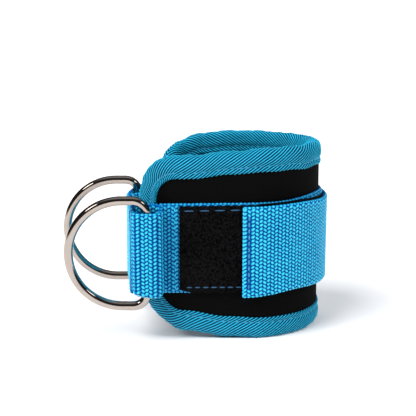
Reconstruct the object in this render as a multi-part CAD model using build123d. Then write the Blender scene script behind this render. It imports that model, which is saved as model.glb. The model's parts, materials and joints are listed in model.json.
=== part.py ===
from build123d import *

import os
from collections import namedtuple
from math import cos, degrees, hypot, radians, sin

# Padded ankle cuff with two D-rings, closed by a long hook-and-loop strap.
# Millimetres, +Z up along the limb. The drafting origin is the limb axis at the right-hand bend,
# on the floor. Everything is moved to the middle of its own box before it is written.

# ---- pad -----------------------------------------------------------------------------------------
limb_radius = 37.5          # bare lining at the right-hand bend
lining_thickness = 1.0
foam_thickness = 4.0
cover_thickness = 1.0
pad_height = 105.5          # over the edge binding
front_flat = 33.0           # straight run of the front wall, from the limb axis to the left
back_flat = 22.0            # the same on the back wall
end_radius = 30.0           # outer radius of the two free ends as they turn inwards
front_turn = 60.0           # how far the front end turns, degrees
back_turn = 80.0
corner_radius = 26.0        # rounded corners of the flat pad
tape_thickness = 0.7        # edge binding
tape_reach = 12.0           # how far the binding comes in over each face
spine_angle = 0.0           # where the pad flexes, degrees round the right-hand bend

# ---- webbing strap -------------------------------------------------------------------------------
webbing_width = 50.0
webbing_thickness = 1.4
base_level = 52.2           # middle height of the sewn-on webbing
strap_level = 50.6          # middle height of the wrapped strap
base_lead = 47.5            # sewn webbing's left end, left of the limb axis
base_back_turn = 52.0       # how far the sewn webbing follows the back end's bend, degrees
loop_thickness = 1.2
loop_width = 47.0
loop_left = 36.5            # loop patch's left edge, left of the limb axis
loop_stop_angle = -66.0     # its other end, degrees round the right-hand bend
hook_thickness = 1.0
hook_width = 46.0
hook_stop_angle = -12.0
back_clearance = 0.4        # wrapped strap over the sewn webbing at the back
front_clearance = 0.4       # hook tape over the loop patch
bridge_radius = 42.8        # strap's free bend from the back wall round to the left side
bridge_centre_x = -23.9
bridge_turn = 96.0          # how far that bend turns before the strap runs straight, degrees
bridge_foot_in = 9.2        # bridge's foot at the front keeper, inwards of the front bar's axis
tip_x = -1.6                # strap's tip
hem_length = 9.0            # webbing folded under at the tip
body_gap = 0.3              # between strap lengths that hinge on each other

# ---- hinge lines of the strap --------------------------------------------------------------------
bridge_end_angle = 150.0    # round the bridge bend
back_end_x = -5.0           # along the back wall
side_end_angle = 38.0       # round the right-hand bend
wrap_end_angle = -35.0

# ---- D-rings and their keepers -------------------------------------------------------------------
ring_wire = 5.1
ring_height = 64.0
ring_width = 48.0
ring_corner = 8.0           # centre-line radius beside the straight bar
ring_level = 50.7
front_bar_left = 54.0       # bar's axis, left of the limb axis
front_bar_out = 7.0         # and out from the pad's front face
back_bar_angle = 166.0      # round the bridge bend
back_bar_in = 3.53          # and in from the strap's inner face
keeper_width = 47.0
front_keeper_left = 7.0     # cavity walls of the front keeper, from the bar's axis
front_keeper_right = 6.6
front_keeper_out = 4.1
front_keeper_in = 6.4
front_keeper_round = 3.6
back_keeper_reach = 3.6     # inner face of the back keeper, from the bar's axis
back_keeper_radius = 15.0

# ---- thread --------------------------------------------------------------------------------------
thread_width = 0.6
thread_rise = 0.3
stitch_length = 2.8
stitch_pitch = 4.2
binding_seam = 9.0          # binding seam, in from the pad's edge
patch_seam = 2.2            # patch seam, in from the patch's edge
patch_stitch_length = 4.6
patch_stitch_pitch = 7.0

# ---- worked out from the above -------------------------------------------------------------------
pad_thickness = lining_thickness + foam_thickness + cover_thickness
pad_radius = limb_radius + pad_thickness
base_low = base_level - webbing_width / 2
strap_low = strap_level - webbing_width / 2
keeper_low = ring_level - keeper_width / 2
back_face = pad_radius + webbing_thickness + back_clearance
front_face = pad_radius + webbing_thickness + loop_thickness + front_clearance + hook_thickness
wrap_radius = (back_face + front_face) / 2
wrap_centre = (0.0, (back_face - front_face) / 2)
front_bar = (-front_bar_left, -pad_radius - front_bar_out)
bridge_foot_y = front_bar[1] + bridge_foot_in
bridge_centre = (bridge_centre_x, back_face - bridge_radius)
bridge_straight_angle = 90.0 + bridge_turn

Arc = namedtuple("Arc", "centre radius start stop")
Run = namedtuple("Run", "start stop")


def polar(centre, radius, angle):
    """Point at an angle in degrees round a centre."""
    return (centre[0] + radius * cos(radians(angle)), centre[1] + radius * sin(radians(angle)))


def piece_length(piece):
    """Length of one arc or run."""
    if isinstance(piece, Arc):
        return piece.radius * radians(abs(piece.stop - piece.start))
    return hypot(piece.stop[0] - piece.start[0], piece.stop[1] - piece.start[1])


def route_length(route):
    """Length of a whole route."""
    return sum(piece_length(piece) for piece in route)


def shifted(point, heading, offset):
    """Point moved to the right of a heading in degrees."""
    return (point[0] + offset * sin(radians(heading)), point[1] - offset * cos(radians(heading)))


def run_heading(run):
    """Heading of a straight run in degrees."""
    start, stop = Vector(*run.start), Vector(*run.stop)
    return Vector(1, 0, 0).get_signed_angle(stop - start, Vector(0, 0, 1))


def walk(route, distance, offset=0.0):
    """Point and heading at a distance along a route, moved outwards by an offset."""
    for piece in route:
        length = piece_length(piece)
        if distance <= length or piece is route[-1]:
            break
        distance -= length
    share = distance / length
    if isinstance(piece, Arc):
        angle = piece.start + share * (piece.stop - piece.start)
        return polar(piece.centre, piece.radius + offset, angle), angle + 90.0
    heading = run_heading(piece)
    along = [a + share * (b - a) for a, b in zip(piece.start, piece.stop)]
    return shifted(along, heading, offset), heading


def piece_edge(piece, offset):
    """Arc or run moved outwards, which is to the right of an anticlockwise route."""
    if isinstance(piece, Arc):
        return CenterArc(piece.centre, piece.radius + offset, piece.start, piece.stop - piece.start)
    heading = run_heading(piece)
    return Line(shifted(piece.start, heading, offset), shifted(piece.stop, heading, offset))


def strip(route, near, far, low, high):
    """Upright wall that follows a route between two offsets and two heights."""
    near_edges = [piece_edge(piece, near) for piece in route]
    far_edges = [piece_edge(piece, far) for piece in route]
    caps = [
        Line(near_edges[0] @ 0, far_edges[0] @ 0),
        Line(near_edges[-1] @ 1, far_edges[-1] @ 1),
    ]
    outline = make_face(near_edges + far_edges + caps)
    return Pos(0, 0, low) * extrude(outline, amount=high - low, dir=(0, 0, 1))


# ---- routes, all anticlockwise seen from above -----------------------------------------------------
front_end_centre = (-front_flat, end_radius - pad_radius)
back_end_centre = (-back_flat, pad_radius - end_radius)
front_route = [
    Arc(front_end_centre, end_radius, 270 - front_turn, 270),
    Run((-front_flat, -pad_radius), (0, -pad_radius)),
    Arc((0, 0), pad_radius, -90, spine_angle),
]
back_route = [
    Arc((0, 0), pad_radius, spine_angle, 90),
    Run((0, pad_radius), (-back_flat, pad_radius)),
    Arc(back_end_centre, end_radius, 90, 90 + back_turn),
]
base_front_route = [
    Run((-base_lead, -pad_radius), (0, -pad_radius)),
    Arc((0, 0), pad_radius, -90, spine_angle),
]
base_back_route = [
    Arc((0, 0), pad_radius, spine_angle, 90),
    Run((0, pad_radius), (-back_flat, pad_radius)),
    Arc(back_end_centre, end_radius, 90, 90 + base_back_turn),
]
loop_route = [
    Run((-loop_left, -pad_radius), (0, -pad_radius)),
    Arc((0, 0), pad_radius, -90, loop_stop_angle),
]
bridge_gap_angle = degrees(body_gap / 2 / bridge_radius)
wrap_gap_angle = degrees(body_gap / 2 / wrap_radius)
bridge_bend_end = polar(bridge_centre, bridge_radius, bridge_straight_angle)
back_bar = polar(bridge_centre, bridge_radius - back_bar_in, back_bar_angle)
bridge_fall = (bridge_bend_end[1] - bridge_foot_y) / cos(radians(bridge_turn - 90))
bridge_foot = (bridge_bend_end[0] + bridge_fall * sin(radians(bridge_turn - 90)), bridge_foot_y)
bridge_route = [
    Arc(bridge_centre, bridge_radius, bridge_end_angle + bridge_gap_angle, bridge_straight_angle),
    Run(bridge_bend_end, bridge_foot),
]
strap_back_route = [
    Run((back_end_x - body_gap / 2, back_face), (bridge_centre_x, back_face)),
    Arc(bridge_centre, bridge_radius, 90, bridge_end_angle - bridge_gap_angle),
]
strap_side_route = [
    Arc(wrap_centre, wrap_radius, side_end_angle + wrap_gap_angle, 90),
    Run((0, back_face), (back_end_x + body_gap / 2, back_face)),
]
strap_wrap_route = [
    Arc(wrap_centre, wrap_radius, wrap_end_angle + wrap_gap_angle, side_end_angle - wrap_gap_angle),
]
hook_wrap_route = [
    Arc(wrap_centre, wrap_radius, wrap_end_angle + wrap_gap_angle, hook_stop_angle),
]
strap_tip_route = [
    Run((tip_x, -front_face), (0, -front_face)),
    Arc(wrap_centre, wrap_radius, -90, wrap_end_angle - wrap_gap_angle),
]
hem_stop_angle = -90 + degrees((hem_length + tip_x) / wrap_radius)
hem_route = [
    Run((tip_x, -front_face), (0, -front_face)),
    Arc(wrap_centre, wrap_radius, -90, hem_stop_angle),
]
hook_tip_route = [
    Arc(wrap_centre, wrap_radius, hem_stop_angle, wrap_end_angle - wrap_gap_angle),
]

# ---- hinge axes, all upright, at the outer face of what bends -----------------------------------
spine_axis = polar((0, 0), pad_radius + webbing_thickness, spine_angle)
bridge_heading = run_heading(bridge_route[1])
bridge_axis = shifted(bridge_foot, bridge_heading, webbing_thickness)
back_axis = polar(bridge_centre, bridge_radius + webbing_thickness, bridge_end_angle)
side_axis = (back_end_x, back_face + webbing_thickness)
wrap_axis = polar(wrap_centre, wrap_radius + webbing_thickness, side_end_angle)
tip_axis = polar(wrap_centre, wrap_radius + webbing_thickness, wrap_end_angle)


# ---- pad pieces ------------------------------------------------------------------------------------
def pad_outline(route, end_first, inset):
    """Prism with the flat pad's rounded corners at its free end, seen square to that end's bend."""
    end_piece = route[0] if end_first else route[-1]
    reach = degrees(corner_radius / 2 / end_radius)
    square_angle = end_piece.start + reach if end_first else end_piece.stop - reach
    past_end = end_radius * sin(radians(reach)) - inset
    far = 4 * pad_radius
    sheet = Rectangle(far, pad_height - 2 * inset)
    rounded = fillet(sheet.vertices().group_by(Axis.X)[0], corner_radius - inset)
    middle = polar(end_piece.centre, end_radius, square_angle)
    heading = square_angle + 90 if end_first else square_angle - 90
    inwards = Vector(cos(radians(heading)), sin(radians(heading)), 0)
    facing = inwards.cross(Vector(0, 0, 1))
    view = Plane(origin=(*middle, pad_height / 2), x_dir=inwards, z_dir=facing)
    placed = view * Pos(far / 2 - past_end, 0) * rounded
    return extrude(placed, amount=far, dir=facing, both=True)


def pad_layer(route, end_first, near, far):
    """One layer of the pad, inside its binding."""
    inset = tape_thickness
    trimmed = trimmed_route(route, end_first, inset)
    wall = strip(trimmed, near, far, inset, pad_height - inset)
    return wall & pad_outline(route, end_first, inset)


def trimmed_route(route, end_first, inset):
    """Pad route with its free end shortened."""
    end_piece = route[0] if end_first else route[-1]
    turn = degrees(inset / end_radius)
    if end_first:
        return [end_piece._replace(start=end_piece.start + turn)] + route[1:]
    return route[:-1] + [end_piece._replace(stop=end_piece.stop - turn)]


def binding(route, end_first):
    """Tape folded over the pad's edge, all round except at the flexing line."""
    skin = tape_thickness
    body = strip(route, -pad_thickness - skin, skin, 0, pad_height)
    body &= pad_outline(route, end_first, 0)
    core = strip(trimmed_route(route, end_first, skin), -pad_thickness, 0, skin, pad_height - skin)
    core &= pad_outline(route, end_first, skin)
    window = strip(
        trimmed_route(route, end_first, tape_reach),
        -pad_thickness - 2 * skin,
        2 * skin,
        tape_reach,
        pad_height - tape_reach,
    )
    window &= pad_outline(route, end_first, tape_reach)
    return body - core - window


# ---- webbing pieces --------------------------------------------------------------------------------
def webbing(route, low):
    """Full-width webbing along a route."""
    return strip(route, 0, webbing_thickness, low, low + webbing_width)


def facing_tape(route, near, far, width, level):
    """Hook or loop tape, narrower than the webbing that it is sewn to."""
    return strip(route, near, far, level - width / 2, level + width / 2)


def front_keeper_cavity():
    """Plan of the space inside the front keeper."""
    bar_x, bar_y = front_bar
    corners = [
        (bar_x + front_keeper_right + 0.4, bar_y + front_keeper_in - 1.6),
        (bar_x - front_keeper_left - 0.4, bar_y + front_keeper_in + 1.2),
        (bar_x - front_keeper_left + 1.0, bar_y - front_keeper_out),
        (bar_x + front_keeper_right, bar_y - front_keeper_out),
    ]
    outline = Polygon(*corners, align=None)
    return fillet(outline.vertices(), front_keeper_round)


def front_keeper():
    """Tube of webbing round the front ring's bar."""
    cavity = front_keeper_cavity()
    outside = offset(cavity, webbing_thickness)
    tube = outside - cavity
    return Pos(0, 0, keeper_low) * extrude(tube, amount=keeper_width, dir=(0, 0, 1))


def front_keeper_envelope():
    """The front keeper with its cavity filled."""
    outside = offset(front_keeper_cavity(), webbing_thickness)
    return extrude(outside, amount=pad_height, dir=(0, 0, 1))


def back_keeper():
    """Second layer of webbing that holds the back ring's bar against the strap."""
    centre = (back_bar[0] + back_keeper_reach - back_keeper_radius, back_bar[1])
    middle = (*centre, ring_level)
    sleeve = Cylinder(back_keeper_radius + webbing_thickness, keeper_width)
    sleeve -= Cylinder(back_keeper_radius, keeper_width)
    inside_strap = Cylinder(bridge_radius, keeper_width)
    band = Pos(*middle) * sleeve & Pos(*bridge_centre, ring_level) * inside_strap
    return band.solids().sort_by(Axis.X)[-1]


# ---- D-ring ----------------------------------------------------------------------------------------
def d_ring(bar):
    """Round wire bent to a D, its straight bar upright and its bow pointing left."""
    reach = ring_width - ring_wire
    half = (ring_height - ring_wire) / 2
    shoulder = half - ring_corner
    bow_x = half - reach
    path = Wire([
        Edge.make_line((0, 0, shoulder), (0, 0, -shoulder)),
        Edge.make_three_point_arc(
            (0, 0, -shoulder),
            (-ring_corner * (1 - cos(radians(45))), 0, -shoulder - ring_corner * sin(radians(45))),
            (-ring_corner, 0, -half),
        ),
        Edge.make_line((-ring_corner, 0, -half), (bow_x, 0, -half)),
        Edge.make_three_point_arc((bow_x, 0, -half), (bow_x - half, 0, 0), (bow_x, 0, half)),
        Edge.make_line((bow_x, 0, half), (-ring_corner, 0, half)),
        Edge.make_three_point_arc(
            (-ring_corner, 0, half),
            (-ring_corner * (1 - cos(radians(45))), 0, shoulder + ring_corner * sin(radians(45))),
            (0, 0, shoulder),
        ),
    ])
    section = Plane(origin=(0, 0, 0), z_dir=(0, 0, -1)) * Circle(ring_wire / 2)
    wire_ring = sweep(section, path=path)
    return Pos(bar[0], bar[1], ring_level) * wire_ring


# ---- thread ----------------------------------------------------------------------------------------
def stitch(point, heading, level, slope, length):
    """One stitch lying on an upright surface."""
    thread = Box(length, thread_rise, thread_width)
    return Pos(point[0], point[1], level) * Rot(0, 0, heading) * Rot(0, -slope, 0) * thread


def stitch_line(route, line, surface, length, pitch):
    """Stitches along a line drawn on the unrolled surface of a route, as distance and height."""
    whole = route_length(line)
    count = int((whole - length) / pitch)
    margin = (whole - count * pitch) / 2
    thread = []
    for index in range(count + 1):
        spot, slope = walk(line, margin + index * pitch)
        point, heading = walk(route, spot[0], surface + thread_rise / 2)
        thread.append(stitch(point, heading, spot[1], slope, length))
    return Compound(thread)


def level_seams(route, surface, levels, length, pitch):
    """Level rows of stitches along a whole route."""
    whole = route_length(route)
    rows = []
    for level in levels:
        rows += stitch_line(route, [Run((0, level), (whole, level))], surface, length, pitch).solids()
    return Compound(rows)


def upright_seam(route, distance, surface, low, high, length, pitch):
    """One upright row of stitches across a strap."""
    return stitch_line(route, [Run((distance, low), (distance, high))], surface, length, pitch)


def binding_seam_line(route, end_first):
    """The binding's seam on the unrolled pad: in along the top, round the end and back."""
    whole = route_length(route)
    inset = binding_seam
    bend = corner_radius - inset
    high = pad_height - corner_radius
    if end_first:
        return [
            Run((whole, pad_height - inset), (corner_radius, pad_height - inset)),
            Arc((corner_radius, high), bend, 90, 180),
            Run((inset, high), (inset, corner_radius)),
            Arc((corner_radius, corner_radius), bend, 180, 270),
            Run((corner_radius, inset), (whole, inset)),
        ]
    last = whole - corner_radius
    return [
        Run((0, inset), (last, inset)),
        Arc((last, corner_radius), bend, -90, 0),
        Run((whole - inset, corner_radius), (whole - inset, high)),
        Arc((last, high), bend, 0, 90),
        Run((last, pad_height - inset), (0, pad_height - inset)),
    ]


def binding_thread(route, end_first):
    """Seam that holds the binding, on the pad's outer face."""
    line = binding_seam_line(route, end_first)
    return stitch_line(route, line, tape_thickness, stitch_length, stitch_pitch)


def patch_thread():
    """The loop patch's two long seams, where the strap leaves it open to view."""
    open_route = [Run((-loop_left + patch_seam, -pad_radius), (tip_x - 2, -pad_radius))]
    reach = loop_width / 2 - patch_seam
    surface = webbing_thickness + loop_thickness
    levels = (base_level - reach, base_level + reach)
    return level_seams(open_route, surface, levels, patch_stitch_length, patch_stitch_pitch)


def build_pieces():
    """Every piece by node name, in the drafting frame."""
    lining_far = -foam_thickness - cover_thickness
    pieces = {}
    for half, route, end_first in (("front", front_route, True), ("back", back_route, False)):
        pieces["lining_" + half] = pad_layer(route, end_first, -pad_thickness, lining_far)
        pieces["foam_" + half] = pad_layer(route, end_first, lining_far, -cover_thickness)
        pieces["cover_" + half] = pad_layer(route, end_first, -cover_thickness, 0)
        pieces["edge_binding_" + half] = binding(route, end_first)
        pieces["binding_stitches_" + half] = binding_thread(route, end_first)
    pieces["base_webbing_front"] = webbing(base_front_route, base_low) - front_keeper_envelope()
    pieces["base_webbing_back"] = webbing(base_back_route, base_low)
    pieces["loop_patch"] = facing_tape(
        loop_route, webbing_thickness, webbing_thickness + loop_thickness, loop_width, base_level
    )
    pieces["loop_patch_stitches"] = patch_thread()
    pieces["ring_keeper_front"] = front_keeper()
    pieces["d_ring_front"] = d_ring(front_bar)
    pieces["strap_bridge_webbing"] = strip(
        bridge_route, 0, webbing_thickness, keeper_low, keeper_low + keeper_width
    )
    pieces["ring_keeper_back"] = back_keeper()
    pieces["d_ring_back"] = d_ring(back_bar)
    pieces["strap_back_webbing"] = webbing(strap_back_route, strap_low)
    pieces["strap_side_webbing"] = webbing(strap_side_route, strap_low)
    pieces["strap_wrap_webbing"] = webbing(strap_wrap_route, strap_low)
    pieces["strap_tip_webbing"] = webbing(strap_tip_route, strap_low)
    pieces["hook_tape_wrap"] = facing_tape(
        hook_wrap_route, -hook_thickness, 0, hook_width, strap_level
    )
    pieces["hook_tape_tip"] = facing_tape(hook_tip_route, -hook_thickness, 0, hook_width, strap_level)
    pieces["tip_hem"] = facing_tape(hem_route, -hook_thickness, 0, webbing_width, strap_level)
    seam_in = thread_width * 2
    pieces["tip_hem_stitches"] = upright_seam(
        strap_tip_route,
        hem_length - 2 * seam_in,
        webbing_thickness,
        strap_low + seam_in,
        strap_low + webbing_width - seam_in,
        stitch_length,
        stitch_pitch,
    )
    keeper_seam_at = base_lead - loop_left - seam_in * 2
    pieces["keeper_stitches_front"] = upright_seam(
        base_front_route,
        keeper_seam_at,
        webbing_thickness,
        base_low + seam_in,
        base_low + webbing_width - seam_in,
        stitch_length,
        stitch_pitch,
    )
    return pieces


pieces = build_pieces()
whole_box = Compound([solid for piece in pieces.values() for solid in piece.solids()]).bounding_box()
middle_x = (whole_box.min.X + whole_box.max.X) / 2
middle_y = (whole_box.min.Y + whole_box.max.Y) / 2
to_origin = Pos(-middle_x, -middle_y, -whole_box.min.Z)

os.makedirs("parts", exist_ok=True)
for name, piece in pieces.items():
    export_step(to_origin * piece, f"parts/{name}.step")
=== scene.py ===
"""Looks of a padded ankle cuff: bound neoprene pad, herringbone webbing strap and two D-rings.

Sizes are in millimetres, measured from the limb axis at the pad's right-hand bend, and are turned
into the row frame's metres when a mesh is made.
"""

from __future__ import annotations

import json
import logging
import math
from dataclasses import dataclass, field
from enum import Enum
from typing import Any, Callable, ClassVar, Sequence, Union

import bmesh
import bpy
import numpy as np
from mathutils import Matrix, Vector

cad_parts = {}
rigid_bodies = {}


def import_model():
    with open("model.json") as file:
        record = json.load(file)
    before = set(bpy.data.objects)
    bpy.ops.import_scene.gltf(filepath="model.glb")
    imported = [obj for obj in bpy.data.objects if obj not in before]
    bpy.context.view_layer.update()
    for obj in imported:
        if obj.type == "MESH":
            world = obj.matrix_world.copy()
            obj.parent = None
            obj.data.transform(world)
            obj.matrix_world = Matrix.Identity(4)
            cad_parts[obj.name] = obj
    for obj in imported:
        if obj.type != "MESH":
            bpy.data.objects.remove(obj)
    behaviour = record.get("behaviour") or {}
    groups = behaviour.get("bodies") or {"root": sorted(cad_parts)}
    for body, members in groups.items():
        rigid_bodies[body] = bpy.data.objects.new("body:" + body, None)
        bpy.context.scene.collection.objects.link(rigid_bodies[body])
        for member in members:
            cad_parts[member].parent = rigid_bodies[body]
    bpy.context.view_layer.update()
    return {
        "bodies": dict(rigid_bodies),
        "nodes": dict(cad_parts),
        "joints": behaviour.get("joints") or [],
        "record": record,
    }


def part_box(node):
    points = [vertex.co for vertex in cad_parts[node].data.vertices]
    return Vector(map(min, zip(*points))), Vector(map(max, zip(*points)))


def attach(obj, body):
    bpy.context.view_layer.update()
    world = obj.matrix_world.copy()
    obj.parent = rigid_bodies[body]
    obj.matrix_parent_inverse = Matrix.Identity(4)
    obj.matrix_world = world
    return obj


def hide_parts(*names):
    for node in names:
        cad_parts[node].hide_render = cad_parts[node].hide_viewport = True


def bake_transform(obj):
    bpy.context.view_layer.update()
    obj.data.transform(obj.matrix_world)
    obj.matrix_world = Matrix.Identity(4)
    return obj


LOG = logging.getLogger("ankle_cuff")
MM = 0.001
Colour = tuple[float, float, float, float]
Point = tuple[float, float]
Rows = np.ndarray
Level = Callable[[Rows], Rows]
Piece = bpy.types.Object
REST = "rest_place"
RIB = "rib_height"


# ---- node trees ----
def add_node(
    tree: bpy.types.NodeTree, kind: str, settings: dict[str, Any], values: dict[Any, Any]
) -> bpy.types.Node:
    """Add a node to a tree.

    Args:
        tree: the tree.
        kind: the node's type.
        settings: its properties, set first, or a ramp's positions and colours under "stops".
        values: numbers or sockets for its inputs, by name or index.

    Returns:
        The node.
    """
    made = tree.nodes.new(kind)
    for key, setting in settings.items():
        if key != "stops":
            setattr(made, key, setting)
            continue
        elements = made.color_ramp.elements
        while len(elements) < len(setting):
            elements.new(0.5)
        for element, (position, colour) in zip(elements, setting):
            element.position, element.color = position, colour
    for key, value in values.items():
        if isinstance(value, bpy.types.NodeSocket):
            tree.links.new(value, made.inputs[key])
        else:
            made.inputs[key].default_value = value
    return made


class Value:
    """A shader socket that takes part in Python expressions."""

    def __init__(self, shader: "Shader", socket: bpy.types.NodeSocket) -> None:
        """Keep the socket and the shader that owns it."""
        self.shader = shader
        self.socket = socket

    def _with(self, operation: str, *others: Union["Value", float]) -> "Value":
        """Add a Math node.

        Args:
            operation: the Math node's operation.
            others: operands, in socket order.

        Returns:
            The node's result.
        """
        return self.shader.node("ShaderNodeMath", {"operation": operation}, dict(enumerate(others)))

    def __add__(self, other: Union["Value", float]) -> "Value":
        """Sum."""
        return self._with("ADD", self, other)

    def __mul__(self, other: Union["Value", float]) -> "Value":
        """Product."""
        return self._with("MULTIPLY", self, other)

    def __sub__(self, other: Union["Value", float]) -> "Value":
        """Difference."""
        return self._with("SUBTRACT", self, other)

    def __rsub__(self, other: float) -> "Value":
        """Reflected difference."""
        return self._with("SUBTRACT", other, self)

    __radd__ = __add__
    __rmul__ = __mul__

    def power(self, exponent: float) -> "Value":
        """The value raised to an exponent."""
        return self._with("POWER", self, exponent)


class Shader:
    """One material's node tree, built from typed helpers."""

    def __init__(self, name: str) -> None:
        """Start an empty material with an output and a Principled shader."""
        self.material = bpy.data.materials.new(name)
        self.material.use_nodes = True
        self.tree = self.material.node_tree
        self.tree.nodes.clear()
        self.output = self.tree.nodes.new("ShaderNodeOutputMaterial")
        self.surface = self.tree.nodes.new("ShaderNodeBsdfPrincipled")
        self.tree.links.new(self.surface.outputs["BSDF"], self.output.inputs["Surface"])

    def node(
        self, kind: str, settings: dict[str, Any], values: dict[Any, Any], result: Any = 0
    ) -> Value:
        """Add any node.

        Args:
            kind: the node's type.
            settings: its properties.
            values: numbers or Values for its input sockets, by name or index.
            result: the output socket wanted, by name or index.

        Returns:
            That output, ready for expressions.
        """
        sockets = {key: getattr(value, "socket", value) for key, value in values.items()}
        return Value(self, add_node(self.tree, kind, settings, sockets).outputs[result])

    def place(self) -> Value:
        """Where a point of cloth is at rest, so that patterns stay on it as it bends."""
        return self.node("ShaderNodeAttribute", {"attribute_name": REST}, {}, "Vector")

    def local(self) -> Value:
        """Object coordinates, for rigid pieces."""
        return self.node("ShaderNodeTexCoord", {}, {}, "Object")

    def noise(self, where: Value, scale: float, detail: float = 3.0, rough: float = 0.5) -> Value:
        """Fractal noise.

        Args:
            where: coordinates.
            scale: features per metre, roughly.
            detail: octaves.
            rough: how strong the finer octaves are.

        Returns:
            Values about 0.5.
        """
        return self.node(
            "ShaderNodeTexNoise",
            {},
            {"Vector": where, "Scale": scale, "Detail": detail, "Roughness": rough},
            "Fac",
        )

    def stretched(self, where: Value, factors: tuple[float, float, float]) -> Value:
        """Coordinates scaled unevenly, for streaks and fibres."""
        return self.node("ShaderNodeMapping", {}, {"Vector": where, "Scale": factors}, "Vector")

    def mix(self, factor: Value, low: Union[Value, Colour], high: Union[Value, Colour]) -> Value:
        """Mix two colours.

        Args:
            factor: 0 for low and 1 for high.
            low: first colour.
            high: second colour.

        Returns:
            The mixed colour.
        """
        settings = {"data_type": "RGBA", "clamp_factor": True}
        return self.node("ShaderNodeMix", settings, {0: factor, 6: low, 7: high}, 2)

    def bump(self, height: Value, strength: float, distance: float) -> None:
        """Feed a height to the surface's normal.

        Args:
            height: relief from 0 to 1.
            strength: Bump node's strength.
            distance: relief in metres.
        """
        normal = self.node(
            "ShaderNodeBump",
            {},
            {"Height": height, "Strength": strength, "Distance": distance},
            "Normal",
        )
        self.feed("Normal", normal)

    def feed(self, socket: str, value: Union[Value, float, Colour]) -> None:
        """Set or link one input of the Principled shader.

        Args:
            socket: the input's name.
            value: a constant or a Value.
        """
        target = self.surface.inputs[socket]
        if isinstance(value, Value):
            self.tree.links.new(value.socket, target)
        else:
            target.default_value = value


# ---- finishes ----
@dataclass(frozen=True)
class YarnFinish:
    """Dyed yarn: lively colour along the fibres, soft sheen and fine fibre relief, with painted
    highlights on raised tops and painted shade in the hollows when painted_light_share is set.
    """

    name: str
    shade: Colour
    light: Colour
    roughness: float = 0.5
    sheen: float = 0.05
    shine: float = 0.3
    painted_light_share: float = 0.0
    painted_light_power: float = 1.0
    fibre_scale: float = 2600.0
    fibre_relief: float = 0.00006

    def build(self) -> bpy.types.Material:
        """Build the material."""
        shader = Shader(self.name)
        place = shader.place()
        broad = shader.noise(place, 60.0, 2.0)
        fine = shader.noise(place, self.fibre_scale, 2.0, 0.6)
        lit = broad * 0.45 + fine * 0.75 - 0.1
        # Painted light: the stored height lightens the tops of threads and ribs as a highlight and
        # darkens their sides and grooves as shade.
        if self.painted_light_share:
            rib = shader.node("ShaderNodeAttribute", {"attribute_name": RIB}, {}, "Fac")
            height = shader.node("ShaderNodeClamp", {}, {"Value": rib}).power(self.painted_light_power)
            lit = (lit - 0.5) * 0.5 + height * self.painted_light_share
        colour = shader.mix(lit, self.shade, self.light)
        shader.feed("Base Color", colour)
        shader.feed("Roughness", fine * 0.2 + (self.roughness - 0.1))
        shader.feed("Sheen Weight", self.sheen)
        shader.feed("Sheen Roughness", 0.45)
        shader.feed("Specular IOR Level", self.shine)
        shader.bump(fine, 0.8, self.fibre_relief)
        return shader.material


@dataclass(frozen=True)
class KnitFinish:
    """Dark knitted face of the foam sandwich: matte, with a fine even knit."""

    name: str
    dark: Colour
    pale: Colour
    knit_scale: float
    relief: float
    roughness: float = 0.9
    contrast: float = 0.8

    def build(self) -> bpy.types.Material:
        """Build the material."""
        shader = Shader(self.name)
        place = shader.place()
        knit = shader.noise(place, self.knit_scale, 3.0, 0.7)
        patches = shader.noise(place, 45.0, 3.0)
        lit = (knit - 0.5) * self.contrast + patches * 0.6 + 0.15
        colour = shader.mix(lit, self.dark, self.pale)
        shader.feed("Base Color", colour)
        shader.feed("Roughness", patches * 0.12 + (self.roughness - 0.06))
        shader.feed("Specular IOR Level", 0.04)
        shader.bump(knit, 0.7, self.relief)
        return shader.material


@dataclass(frozen=True)
class PlatedFinish:
    """Polished nickel plate with faint polishing streaks and handling marks."""

    name: str = "plated_wire"
    bright: Colour = (0.46, 0.395, 0.35, 1.0)
    worn: Colour = (0.36, 0.31, 0.275, 1.0)
    roughness: float = 0.06

    def build(self) -> bpy.types.Material:
        """Build the material."""
        shader = Shader(self.name)
        place = shader.local()
        marks = shader.noise(place, 160.0, 4.0, 0.65)
        streaks = shader.noise(shader.stretched(place, (1.0, 1.0, 0.15)), 900.0, 2.0, 0.6)
        wear = (marks - 0.52) * 2.2 + (streaks - 0.5) * 0.6
        shader.feed("Base Color", shader.mix(wear, self.bright, self.worn))
        shader.feed("Metallic", 1.0)
        shader.feed("Roughness", marks * 0.10 + streaks * 0.04 + self.roughness - 0.05)
        shader.bump(marks, 0.10, 0.00006)
        return shader.material


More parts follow.
